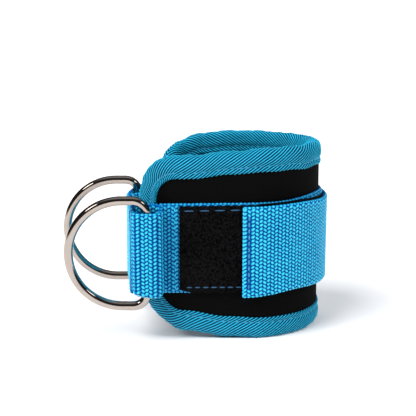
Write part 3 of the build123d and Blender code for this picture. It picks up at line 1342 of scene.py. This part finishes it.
        scene.frame_set(1)
        mesh.vertices.foreach_set("co", (rest + travel).ravel())
        mesh.update()
        LOG.info("pad cover puffed by up to %.2f mm", float(size.max()) / MM)

    def inner_lining(self) -> Piece:
        """The lining against the limb."""
        face = -self.thickness + self.lining - 0.05
        piece = self.shell("pad_lining", -self.thickness, face, self.inset, Finish.LINING)
        return self.workshop.dress(piece, "lining_cloth", "lining_front", "lining_back")

    def tape_section(self, count: int) -> tuple[Rows, Rows, Rows]:
        """The binding's section, from its outer lip over the edge to its inner lip.

        Args:
            count: points in the section.

        Returns:
            Depth from the edge, offset from the pad's middle, and distance from the crest.
        """
        half = self.thickness / 2
        knots_depth = np.array([12.0, 11.5, 10.6, 9.7, 9.0, 8.3, 7.4, 6.2, 5.0, 3.9])
        knots_rise = np.array([0.45, 0.78, 0.72, 0.38, 0.02, 0.42, 0.82, 0.96, 0.84, 0.66]) + half
        turns = np.linspace(0, math.pi, 9)[1:-1]
        roll_depth = self.roll - self.roll * np.sin(turns)
        roll_rise = (half + self.roll_rise) * np.cos(turns)
        depth = np.concatenate((knots_depth, roll_depth, knots_depth[::-1]))
        rise = np.concatenate((knots_rise, roll_rise, -knots_rise[::-1]))
        steps = np.hypot(np.diff(depth), np.diff(rise))
        walked = np.concatenate(([0.0], np.cumsum(steps)))
        even = np.linspace(0, walked[-1], count)
        crest = walked[-1] / 2
        return np.interp(even, walked, depth), np.interp(even, walked, rise), np.abs(even - crest)

    def binding(self) -> Piece:
        """The twill tape as one ribbed sheet with thickness, folded over the whole edge."""
        rows = self.tape_rows
        depth, rise, from_crest = self.tape_section(rows)
        ribs = round(self.edge_length / self.rib_pitch)
        columns = ribs * self.rib_samples
        phase = np.arange(columns) / columns
        column_phase = np.repeat(phase, rows)
        slant = np.tile(from_crest, columns) * self.rib_slope / self.edge_length
        relief = 0.5 + 0.5 * np.cos(2 * math.pi * ribs * column_phase)
        tape_depth = np.tile(depth, columns)
        tape_rise = np.tile(rise, columns)
        around = column_phase + slant
        lip = np.clip(tape_depth - 11.0, 0, 1)
        spots, _ = self.edge_line(around, tape_depth + lip * self.scallop * (relief - 0.5))
        spread = np.sign(tape_rise) * np.minimum(np.abs(tape_rise) / 3.0, 1.0)
        lift = self.rib_relief * relief
        ease = 0.10 * np.sin(around * 190.0) + 0.08 * np.sin(around * 71.0 + 1.0)
        wander = np.sin(around * 311.0 + 0.7) * np.sin(around * 137.0)
        gather = np.sin(2 * math.pi * around * self.edge_length / self.pucker_pitch + 2.2 * wander)
        ease = ease + self.pucker * gather * np.clip(1 - tape_depth / 9.0, 0, 1)
        outer, _ = self.flat(spots, -self.thickness / 2 + tape_rise + spread * (lift + ease))
        crest_share = np.clip(1 - tape_depth / self.roll, 0, 1)
        edge_out = self.edge_outward(around)
        outer += edge_out * (crest_share * (lift + ease))[:, None]
        inner_rise = tape_rise - spread * self.tape_thickness
        inner_depth = tape_depth + crest_share * self.tape_thickness
        inner_spots, _ = self.edge_line(around, inner_depth)
        inner, _ = self.flat(inner_spots, -self.thickness / 2 + inner_rise)
        outer[:, 2] = np.maximum(outer[:, 2], 0.02)
        inner[:, 2] = np.maximum(inner[:, 2], 0.40)
        count = columns * rows
        faces = grid_faces(columns, rows, True, False)
        faces += [[index + count for index in face[::-1]] for face in faces]
        for column in range(columns):
            following = (column + 1) % columns
            for row, flip in ((0, True), (rows - 1, False)):
                here, onward = column * rows + row, following * rows + row
                quad = [here, onward, onward + count, here + count]
                faces.append(quad[::-1] if flip else quad)
        piece = self.workshop.solid("edge_binding", np.vstack((outer, inner)), faces, Finish.TWILL)
        self.workshop.make_outward(piece)
        # Painted light: the rib relief, kept for the twill's colour, paints shade in the grooves and a
        # highlight on the crests.
        stored = piece.data.attributes.new(RIB, "FLOAT", "POINT")
        stored.data.foreach_set("value", np.concatenate((relief, relief)).astype(np.float32))
        nodes = ("edge_binding_front", "edge_binding_back")
        return self.workshop.dress(piece, "binding_tape", *nodes)

    def edge_outward(self, around: Rows) -> Rows:
        """Directions out of the pad's edge, in its own surface.

        Args:
            around: share of the way round the edge.

        Returns:
            Unit directions from the limb-axis frame, one row each.
        """
        here, _ = self.edge_line(around, np.full(len(around), 4.0))
        there, _ = self.edge_line(around, np.full(len(around), 3.0))
        low, _ = self.flat(here, np.full(len(here), -self.thickness / 2))
        high, _ = self.flat(there, np.full(len(there), -self.thickness / 2))
        reach = high - low
        return reach / np.linalg.norm(reach, axis=1)[:, None]

    def seams(self) -> Piece:
        """The binding's seam, seen as stitches on both faces."""
        count = round(self.edge_length / self.stitch_pitch)
        around = (np.arange(count) + 0.5) / count
        layers = []
        for side in (1.0, -1.0):
            spots, ahead = self.edge_line(around, np.full(count, self.seam_depth))
            offset = -self.thickness / 2 + side * (self.thickness / 2 + 0.32)
            sites, out = self.flat(spots, np.full(count, offset))
            level = np.array((0, 0, 1.0))
            along = np.cross(level, out) * ahead[:, :1] + level * ahead[:, 1:]
            layers.append((sites, out * side, along))
        sites, out, along = (np.vstack(rows) for rows in zip(*layers))
        piece = self.layer.lay(
            "binding_stitches", sites, out, along, self.stitch, Finish.THREAD, self.seam_seed
        )
        nodes = ("binding_stitches_front", "binding_stitches_back")
        return self.workshop.dress(piece, "blue_thread", *nodes)


# ---- straps, keepers and tapes ----
@dataclass
class Straps:
    """The sewn base webbing, the ring keepers, the wrapped strap and its closing tapes."""

    workshop: Workshop
    layer: ThreadLayer
    maker: WebbingMaker
    thickness: float = 1.4
    base_lead: float = 47.5
    back_flat: float = 22.0
    back_end_radius: float = 30.0
    base_back_turn: float = 52.0
    loop_thickness: float = 1.2
    loop_left: float = 36.5
    loop_stop: float = -66.0
    hook_thickness: float = 1.0
    hook_stop: float = -12.0
    back_clearance: float = 0.4
    front_clearance: float = 0.4
    bridge_radius: float = 42.8
    bridge_centre_x: float = -23.9
    bridge_turn: float = 96.0
    tip_x: float = -1.6
    hem: float = 9.0
    hem_seam: float = 3.18
    hem_dip: float = 0.55
    sway: float = 0.12
    front_bar: Point = (-54.0, -50.5)
    back_bar: Point = (-62.0, 12.0)
    back_keeper_reach: float = 3.6
    back_keeper_radius: float = 15.0
    wrap_hinges: tuple[float, ...] = (55.0, 128.0)
    back_hinge: float = 5.0
    bridge_hinge: float = 60.0
    foot_hinge: float = 5.2
    low_lifts: tuple[float, ...] = (-0.2, 2.3, 1.2, 0.0, 0.0)
    high_lifts: tuple[float, ...] = (0.4, 1.0, -0.3, 0.0, 0.0)
    tape_levels: int = 24
    stitch_seed: int = 11
    strap_spread: float = 14.0
    foot_spread: float = 4.0
    foot_front: float = 46.5
    keeper_corner: float = 3.6
    keeper_corners: tuple[Point, ...] = ((6.6, -4.1), (7.0, 4.8), (-7.4, 7.6), (-6.0, -4.1))
    back_keeper_start: float = -62.0
    back_keeper_stop: float = 40.0
    fold_half: float = 0.45

    def __post_init__(self) -> None:
        """Lay out the routes."""
        radius = self.workshop.datum.pad_radius
        self.radius = radius
        self.base_route = Route(
            [
                Run((-self.base_lead, -radius), (0, -radius)),
                Bend((0, 0), radius, -90, 90),
                Run((0, radius), (-self.back_flat, radius)),
                Bend((-self.back_flat, radius - self.back_end_radius), self.back_end_radius,
                     90, 90 + self.base_back_turn),
            ]
        )
        back = radius + self.thickness + self.back_clearance
        front = radius + self.thickness + self.loop_thickness
        front += self.front_clearance + self.hook_thickness
        self.wrap_radius = (back + front) / 2
        self.wrap_centre = (0.0, (back - front) / 2)
        bridge_centre = (self.bridge_centre_x, back - self.bridge_radius)
        straight = 90 + self.bridge_turn
        bend = Bend(bridge_centre, self.bridge_radius, 90, straight)
        bend_end, out = bend.place(np.array([bend.length]), np.zeros(1))
        heading = np.array((-out[0][1], out[0][0]))
        foot = bend_end[0] + heading * (bend_end[0][1] + self.foot_front) / -heading[1]
        self.strap_route = Route(
            [
                Run((self.tip_x, -front), (0, -front)),
                Bend(self.wrap_centre, self.wrap_radius, -90, 90),
                Run((0, back), (self.bridge_centre_x, back)),
                bend,
                Run(tuple(bend_end[0]), tuple(foot)),
            ]
        )
        low, high = self.workshop.datum.heights("strap_back_webbing")
        slim_low, slim_high = self.workshop.datum.heights("strap_bridge_webbing")
        bend_start = float(self.strap_route.starts[3])
        spots = (0.0, 32.0, 60.0, 95.0, bend_start + 28.0, bend_start + 58.0)
        self.strap_low, self.strap_high = (
            through(*zip(spots, [level + lift for lift in lifts] + [slim]))
            for level, lifts, slim in (
                (low, self.low_lifts, slim_low),
                (high, self.high_lifts, slim_high),
            )
        )

    def strap_band(self, start: float, stop: float) -> Band:
        """Part of the wrapped strap."""
        return Band(
            self.strap_route,
            start,
            stop,
            self.strap_low,
            self.strap_high,
            0.0,
            self.thickness,
            self.sway,
            seam_at=self.hem_seam,
            seam_dip=self.hem_dip,
        )

    def joints_along(self) -> list[float]:
        """Distances of the strap's hinge lines from its tip, tip first."""
        starts = self.strap_route.starts
        hinges = [starts[1] + self.wrap_radius * math.radians(turn) for turn in self.wrap_hinges]
        hinges.append(starts[2] + self.back_hinge)
        hinges.append(starts[3] + self.bridge_radius * math.radians(self.bridge_hinge))
        hinges.append(self.strap_route.length - self.foot_hinge)
        return [float(hinge) for hinge in hinges]

    def strap(self) -> list[Piece]:
        """The wrapped strap, one piece across each of its hinge lines."""
        hinges = self.joints_along()
        cuts = [0.0]
        cuts += [(before + after) / 2 for before, after in zip(hinges, hinges[1:])]
        cuts.append(self.strap_route.length)
        nodes = ["strap_tip_webbing", "strap_wrap_webbing", "strap_side_webbing",
                 "strap_back_webbing", "strap_bridge_webbing"]
        spreads = [self.strap_spread] * 4 + [self.foot_spread]
        pieces = []
        for index, hinge in enumerate(hinges):
            band = self.strap_band(cuts[index], cuts[index + 1])
            piece = self.maker.weave(f"strap_length_{index + 1}", band, (Face.OUTER, Face.INNER))
            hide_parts(nodes[index])
            self.bend_at(piece, hinge, spreads[index])
            pieces.append(piece)
        return pieces

    def bend_at(self, piece: Piece, hinge: float, spread: float) -> None:
        """Bake a piece's placement into its mesh. The ends of one hinge line of the strap are worked
        out but not used.

        Args:
            piece: the finished piece.
            hinge: the hinge's distance from the tip.
            spread: half the length across the hinge line.
        """
        ends, _ = self.strap_route.place(np.array([hinge - spread, hinge + spread]))
        datum = self.workshop.datum
        datum.spot(*ends[0])
        datum.spot(*ends[1])
        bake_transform(piece)

    def base(self) -> Piece:
        """The webbing sewn round the pad."""
        low, high = self.workshop.datum.heights("base_webbing_back")
        top = through((0.0, high), (62.0, high + 0.4), (98.0, high + 1.9), (145.0, high))
        route = self.base_route
        band = Band(route, 0.0, route.length, steady(low), top, 0.05, self.thickness)
        # Painted shade: the base webbing takes the darker copy of the yarn.
        piece = self.maker.weave("base_webbing", band, (Face.OUTER,), yarn_with_painted_light=Finish.SHADED_BASE_YARN)
        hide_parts("base_webbing_front", "base_webbing_back")
        return piece

    def front_keeper(self) -> Piece:
        """The tube of webbing round the front ring's bar."""
        bar_x, bar_y = self.front_bar
        corners = [(bar_x + right, bar_y + back) for right, back in self.keeper_corners]
        route = rounded_loop(corners, self.keeper_corner)
        low, high = self.workshop.datum.heights("ring_keeper_front")

        def nearness(distance: Rows) -> tuple[Rows, Rows]:
            """How near to the pad and how far left the tube is, each from 0 to 1."""
            plan, _ = route.place(np.asarray(distance, float) % route.length)
            pad = np.clip((plan[:, 1] - bar_y + 3.0) / 8.0, 0, 1)
            left = np.clip((bar_x + 4.0 - plan[:, 0]) / 11.0, 0, 1)
            return ease(pad), left * left

        def bottom(distance: Rows) -> Rows:
            """The tube's lower edge, which rises at the left and a little by the pad."""
            pad, left = nearness(distance)
            return low + 1.8 * left + 0.6 * pad

        def top(distance: Rows) -> Rows:
            """The tube's upper edge, which rises by the pad."""
            return high - 0.4 + 3.2 * nearness(distance)[0]

        band = Band(route, 0.0, route.length, bottom, top, 0.0, self.thickness, self.sway)
        piece = self.maker.weave("ring_keeper_front_tube", band, (Face.OUTER, Face.INNER), True)
        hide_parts("ring_keeper_front")
        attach(piece, "cuff_front")
        return piece

    def back_keeper(self) -> Piece:
        """The layer of webbing that holds the back ring's bar."""
        bar_x, bar_y = self.back_bar
        radius = self.back_keeper_radius
        centre = (bar_x + self.back_keeper_reach - radius, bar_y)
        route = Route([Bend(centre, radius, self.back_keeper_start, self.back_keeper_stop)])
        low, high = self.workshop.datum.heights("ring_keeper_back")
        band = Band(route, 0.0, route.length, steady(low), steady(high), 0.0, self.thickness)
        piece = self.maker.weave("ring_keeper_back_layer", band, (Face.OUTER, Face.INNER))
        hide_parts("ring_keeper_back")
        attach(piece, "strap_bridge")
        return piece

    def loop_patch(self) -> Piece:
        """The black loop patch on the front."""
        route = Route(
            [
                Run((-self.loop_left, -self.radius), (0, -self.radius)),
                Bend((0, 0), self.radius, -90, self.loop_stop),
            ]
        )
        low, high = self.workshop.datum.heights("loop_patch")
        band = Band(
            route,
            0.0,
            route.length,
            through((0.0, low), (8.0, low - 1.7), (60.0, low - 1.7)),
            through((0.0, high + 0.5), (60.0, high + 1.3), (110.0, high + 1.6)),
            self.thickness,
            self.thickness + self.loop_thickness,
        )
        piece = self.maker.ground("loop_patch_pile", band, Finish.LOOP_PILE, levels=self.tape_levels)
        self.workshop.dress(piece, "loop_pile", "loop_patch")
        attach(piece, "cuff_front")
        return piece

    def hook_tape(self) -> Piece:
        """The black hook tape on the strap's inner face."""
        after_hem = -90 + math.degrees((self.hem + self.tip_x) / self.wrap_radius)
        route = Route([Bend(self.wrap_centre, self.wrap_radius, after_hem, self.hook_stop)])
        reach = self.hem
        band = Band(
            route,
            0.0,
            route.length,
            lambda distance: self.strap_low(distance + reach) + 0.7,
            lambda distance: self.strap_high(distance + reach) + 1.5,
            -self.hook_thickness,
            -0.02,
        )
        piece = self.maker.ground("hook_tape", band, Finish.HOOK_TAPE, levels=self.tape_levels)
        self.workshop.dress(piece, "hook_tape", "hook_tape_tip", "hook_tape_wrap")
        self.bend_at(piece, self.joints_along()[0], self.strap_spread)
        return piece

    def tip_hem(self) -> Piece:
        """Webbing folded under at the tip, with the rounded fold."""
        front = -self.strap_route.pieces[0].start[1]
        half = (self.thickness + self.hook_thickness) / 2
        fold_y = -front + self.hook_thickness - half
        under, turn_x = -front + self.hook_thickness - self.fold_half, self.tip_x + 1.0
        route = Route(
            [
                Run((self.hem + self.tip_x, under), (turn_x, under)),
                Bend((turn_x, fold_y), half - self.fold_half, 90, 270),
            ]
        )
        low, high = self.workshop.datum.heights("strap_tip_webbing")
        low, high = low + self.low_lifts[0], high + self.high_lifts[0]
        band = Band(
            route, 0.0, route.length, steady(low), steady(high), -self.fold_half, self.fold_half
        )
        ridge = self.seam("tip_ridge", self.strap_route, self.thickness - 0.3, (0.15, low),
                          (0.15, high), ThreadSize(2.7, 1.3, 1.6, 8, 5, 0.05), self.maker.row,
                          Finish.WEBBING_YARN)
        fold = self.maker.ground("tip_fold", band, Finish.WEBBING_YARN)
        piece = self.workshop.join("tip_hem_fold", [fold, ridge])
        self.workshop.dress(piece, "blue_webbing", "tip_hem")
        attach(piece, "strap_tip")
        return piece

    def seam(self, name: str, route: Route, offset: float, start: Point, stop: Point,
             size: ThreadSize, pitch: float, finish: Finish) -> Piece:
        """A straight seam on the outer face of a band.

        Args:
            name: the object's name.
            route: the band's route.
            offset: the face's offset.
            start: distance and height of its first end.
            stop: distance and height of its last end.
            size: the stitches' size.
            pitch: their spacing.
            finish: their finish.

        Returns:
            The object, not yet on a body.
        """
        first, last = np.array(start), np.array(stop)
        length = float(np.linalg.norm(last - first))
        count = max(1, int(length / pitch))
        share = (np.arange(count) + 0.5) / count
        spots = first + share[:, None] * (last - first)
        plan, out = route.place(spots[:, 0], offset)
        sites = np.column_stack((plan, spots[:, 1]))
        ahead = (last - first) / length
        along = level_rows(turned(out)) * ahead[0] + np.array((0, 0, 1.0)) * ahead[1]
        seed = self.stitch_seed
        piece = self.layer.lay(name, sites, level_rows(out), along, size, finish, seed)
        return self.workshop.dress(piece, "blue_thread")

    def seams(self) -> list[Piece]:
        """The loop patch's long stitches, the hem's seam and the keeper's seam."""
        low, high = self.workshop.datum.heights("loop_patch")
        face = self.thickness + self.loop_thickness + 0.05
        left = self.base_lead - self.loop_left + 1.2
        right = self.base_lead + self.tip_x
        rows = [
            self.seam("patch_row_low", self.base_route, face, (left + 2.0, low + 1.7),
                      (right, low + 1.9), ThreadSize(3.2, 0.75, 0.5, 8, 5, 0.1), 4.1,
                      Finish.PATCH_THREAD),
            self.seam("patch_row_high", self.base_route, face, (left, high - 2.2),
                      (right, high - 1.6), ThreadSize(6.0, 0.75, 0.5, 8, 5, 0.05), 7.7,
                      Finish.PATCH_THREAD),
        ]
        patch = self.workshop.join("loop_patch_seams", rows)
        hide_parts("loop_patch_stitches")
        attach(patch, "cuff_front")
        strap_low, strap_high = self.workshop.datum.heights("strap_tip_webbing")
        small = ThreadSize(2.7, 0.8, 0.6, 8, 5, 0.1)
        hem = self.seam("tip_hem_seam", self.strap_route, self.thickness - 0.35,
                        (self.hem_seam, strap_low + 4.0), (self.hem_seam, strap_high - 4.0),
                        ThreadSize(2.9, 1.1, 0.8, 8, 5, 0.08), 3.3, Finish.THREAD)
        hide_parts("tip_hem_stitches")
        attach(hem, "strap_tip")
        base_low, base_high = self.workshop.datum.heights("base_webbing_back")
        keeper_at = self.base_lead - self.loop_left - 2.4
        keeper = self.seam("keeper_seam", self.base_route, self.thickness + 0.35,
                           (keeper_at, base_low + 1.5), (keeper_at, base_high - 1.5),
                           small, 3.3, Finish.WEBBING_YARN)
        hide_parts("keeper_stitches_front")
        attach(keeper, "cuff_front")
        return [patch, hem, keeper]


# ---- rings ----
@dataclass
class Rings:
    """The two D-rings: round wire, bent with its straight bar upright, butted there and plated."""

    workshop: Workshop
    corner: float = 8.0
    around: int = 28
    step: float = 0.9
    joint_depth: float = 0.12
    joint_width: float = 0.35

    def ring(self, node: str, body: str) -> Piece:
        """One ring in its node's place.

        Args:
            node: the CAD node that it stands for.
            body: the body that it rides on.

        Returns:
            The object.
        """
        low, high = (np.array(corner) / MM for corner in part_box(node))
        wire = high[1] - low[1]
        middle = (low + high) / 2 - np.array((*self.workshop.datum.axis, 0.0))
        half = (high[2] - low[2] - wire) / 2
        bar_x = middle[0] + (high[0] - low[0] - wire) / 2
        bow_x = middle[0] - (high[0] - low[0] - wire) / 2 + half
        shoulder, turn = half - self.corner, bar_x - self.corner
        route = Route(
            [
                Run((bar_x, -shoulder), (bar_x, shoulder)),
                Bend((turn, shoulder), self.corner, 0, 90),
                Run((turn, half), (bow_x, half)),
                Bend((bow_x, 0), half, 90, 270),
                Run((bow_x, -half), (turn, -half)),
                Bend((turn, -shoulder), self.corner, 270, 360),
            ]
        )
        stations = np.linspace(0, route.length, int(route.length / self.step) + 1)[:-1]
        near = shoulder + np.array([-2.0, -1.0, -0.5, 0.0, 0.5, 1.0, 2.0]) * self.joint_width
        stations = np.unique(np.concatenate((stations, near)))
        centre, out = route.place(stations)
        thin = np.exp(-(((stations - shoulder) / self.joint_width) ** 2)) * self.joint_depth
        angle = np.linspace(0, 2 * math.pi, self.around, endpoint=False)
        reach = (wire / 2 - thin)[:, None]
        side = reach * np.cos(angle)[None, :]
        spots = np.stack(
            (
                centre[:, :1] + out[:, :1] * side,
                middle[1] + reach * np.sin(angle)[None, :],
                middle[2] + centre[:, 1:] + out[:, 1:] * side,
            ),
            axis=-1,
        ).reshape(-1, 3)
        faces = grid_faces(len(stations), self.around, True, True)
        made = self.workshop.solid(node + "_wire", spots, faces, Finish.NICKEL)
        self.workshop.make_outward(made)
        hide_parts(node)
        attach(made, body)
        return made

    def build(self) -> list[Piece]:
        """Both rings."""
        return [self.ring("d_ring_front", "ring_front"), self.ring("d_ring_back", "ring_back")]


# ---- floor, lights and camera ----
@dataclass
class Studio:
    """Floor, lights and camera."""

    datum: Datum
    camera_left: float = -20.8
    camera_back: float = 628.0
    camera_up: float = 199.0
    pitch: float = 12.0
    lens: float = 94.7
    floor_reach: float = 30.0
    sky: tuple[tuple[float, Colour], ...] = (
        (0.00, (0.95, 0.93, 0.91, 1.0)),
        (0.04, (0.80, 0.79, 0.78, 1.0)),
        (0.10, (0.02, 0.02, 0.02, 1.0)),
        (0.80, (0.03, 0.03, 0.03, 1.0)),
        (0.98, (0.40, 0.41, 0.43, 1.0)),
    )

    def floor(self) -> None:
        """A wide pale floor."""
        shader = Shader("studio_floor")
        shader.feed("Base Color", (0.93, 0.93, 0.94, 1.0))
        shader.feed("Roughness", 0.6)
        shader.feed("Specular IOR Level", 0.2)
        mesh = bpy.data.meshes.new("studio_floor")
        reach = self.floor_reach
        corners = [(-reach, -reach, 0), (reach, -reach, 0), (reach, reach, 0), (-reach, reach, 0)]
        mesh.from_pydata(corners, [], [(0, 1, 2, 3)])
        mesh.materials.append(shader.material)
        made = bpy.data.objects.new("studio_floor", mesh)
        bpy.context.scene.collection.objects.link(made)

    def sun(
        self,
        name: str,
        azimuth: float,
        elevation: float,
        spread: float,
        power: float,
        mirrored: bool = True,
    ) -> None:
        """A broad, even light from far away.

        Args:
            name: the light's name.
            azimuth: where it comes from, in degrees right of the camera's side.
            elevation: degrees above the floor.
            spread: its width in degrees; wider is softer.
            power: its strength.
            mirrored: whether plated surfaces show it.
        """
        light = bpy.data.lights.new(name, "SUN")
        light.angle = math.radians(spread)
        light.energy = power
        made = bpy.data.objects.new(name, light)
        turn, rise = math.radians(azimuth), math.radians(elevation)
        source = Vector(
            (math.sin(turn) * math.cos(rise), -math.cos(turn) * math.cos(rise), math.sin(rise))
        )
        made.location = source
        made.rotation_euler = source.to_track_quat("Z", "Y").to_euler()
        made.visible_glossy = mirrored
        bpy.context.scene.collection.objects.link(made)

    def room(self) -> None:
        """A pale horizon under a dark ceiling, which gives the plated rings their bands."""
        world = bpy.data.worlds.new("studio")
        world.use_nodes = True
        tree = world.node_tree
        background = tree.nodes["Background"]
        background.inputs["Strength"].default_value = 1.0
        aim = add_node(tree, "ShaderNodeTexCoord", {}, {})
        rise = add_node(tree, "ShaderNodeSeparateXYZ", {}, {0: aim.outputs["Generated"]})
        height = {"Fac": rise.outputs["Z"]}
        ramp = add_node(tree, "ShaderNodeValToRGB", {"stops": self.sky}, height)
        tree.links.new(ramp.outputs["Color"], background.inputs["Color"])
        bpy.context.scene.world = world

    def lights(self) -> None:
        """A key from the left front, softer lights right and behind, and two narrow rims."""
        self.room()
        self.sun("key", -56.0, 50.0, 46.0, 3.6, mirrored=False)
        self.sun("right", 66.0, 44.0, 30.0, 1.5, mirrored=False)
        self.sun("back", 172.0, 40.0, 70.0, 1.1, mirrored=False)
        self.sun("rim_left", -56.0, 40.0, 15.0, 0.30)
        self.sun("rim_right", 56.0, 40.0, 14.0, 0.18)
        bpy.context.scene.view_settings.view_transform = "Standard"

    def camera(self) -> None:
        """The camera, looking level with +Y and a little down."""
        data = bpy.data.cameras.new("camera")
        data.lens = self.lens
        data.sensor_width = 36.0
        data.clip_end = 100.0
        made = bpy.data.objects.new("camera", data)
        made.location = self.datum.spot(self.camera_left, -self.camera_back, self.camera_up)
        made.rotation_euler = (math.radians(90 - self.pitch), 0, 0)
        bpy.context.scene.collection.objects.link(made)
        bpy.context.scene.camera = made

    def build(self) -> None:
        """Build the studio."""
        self.floor()
        self.lights()
        self.camera()


# ---- the whole cuff ----
class Cuff:
    """Builds every piece; the keepers, loop patch, tip hem, strap seams and rings go on their bodies.
    """

    FLEX_REACH = 12.0

    def __init__(self) -> None:
        """Set up the makers round the loaded frame."""
        self.datum = Datum()
        self.workshop = Workshop(self.datum)
        self.layer = ThreadLayer(self.workshop)
        self.maker = WebbingMaker(self.workshop, self.layer)
        self.pad = Pad(self.workshop, self.layer)
        self.straps = Straps(self.workshop, self.layer, self.maker)
        self.rings = Rings(self.workshop)

    def flex(self, piece: Piece) -> None:
        """Bake a piece's placement into its mesh. The ends of the pad's right-hand bend are worked out
        but not used.
        """
        radius = self.datum.pad_radius
        start, end = (self.datum.spot(radius, side * self.FLEX_REACH) for side in (-1, 1))
        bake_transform(piece)

    def build(self) -> None:
        """Build the pad, the straps and the rings."""
        for make in (self.pad.body, self.pad.inner_lining, self.pad.binding, self.pad.seams,
                     self.straps.base):
            piece = make()
            self.flex(piece)
            LOG.info("%s has %d faces", piece.name, len(piece.data.polygons))
        pieces = self.straps.strap()
        for make in (self.straps.front_keeper, self.straps.back_keeper, self.straps.loop_patch,
                     self.straps.hook_tape, self.straps.tip_hem):
            pieces.append(make())
        pieces += self.straps.seams() + self.rings.build()
        for piece in pieces:
            LOG.info("%s has %d faces", piece.name, len(piece.data.polygons))


def main() -> None:
    """Load the frame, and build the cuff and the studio."""
    logging.basicConfig(level=logging.INFO, format="%(name)s: %(message)s")
    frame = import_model()
    cuff = Cuff()
    Studio(cuff.datum).build()
    cuff.build()


if __name__ == "__main__":
    main()
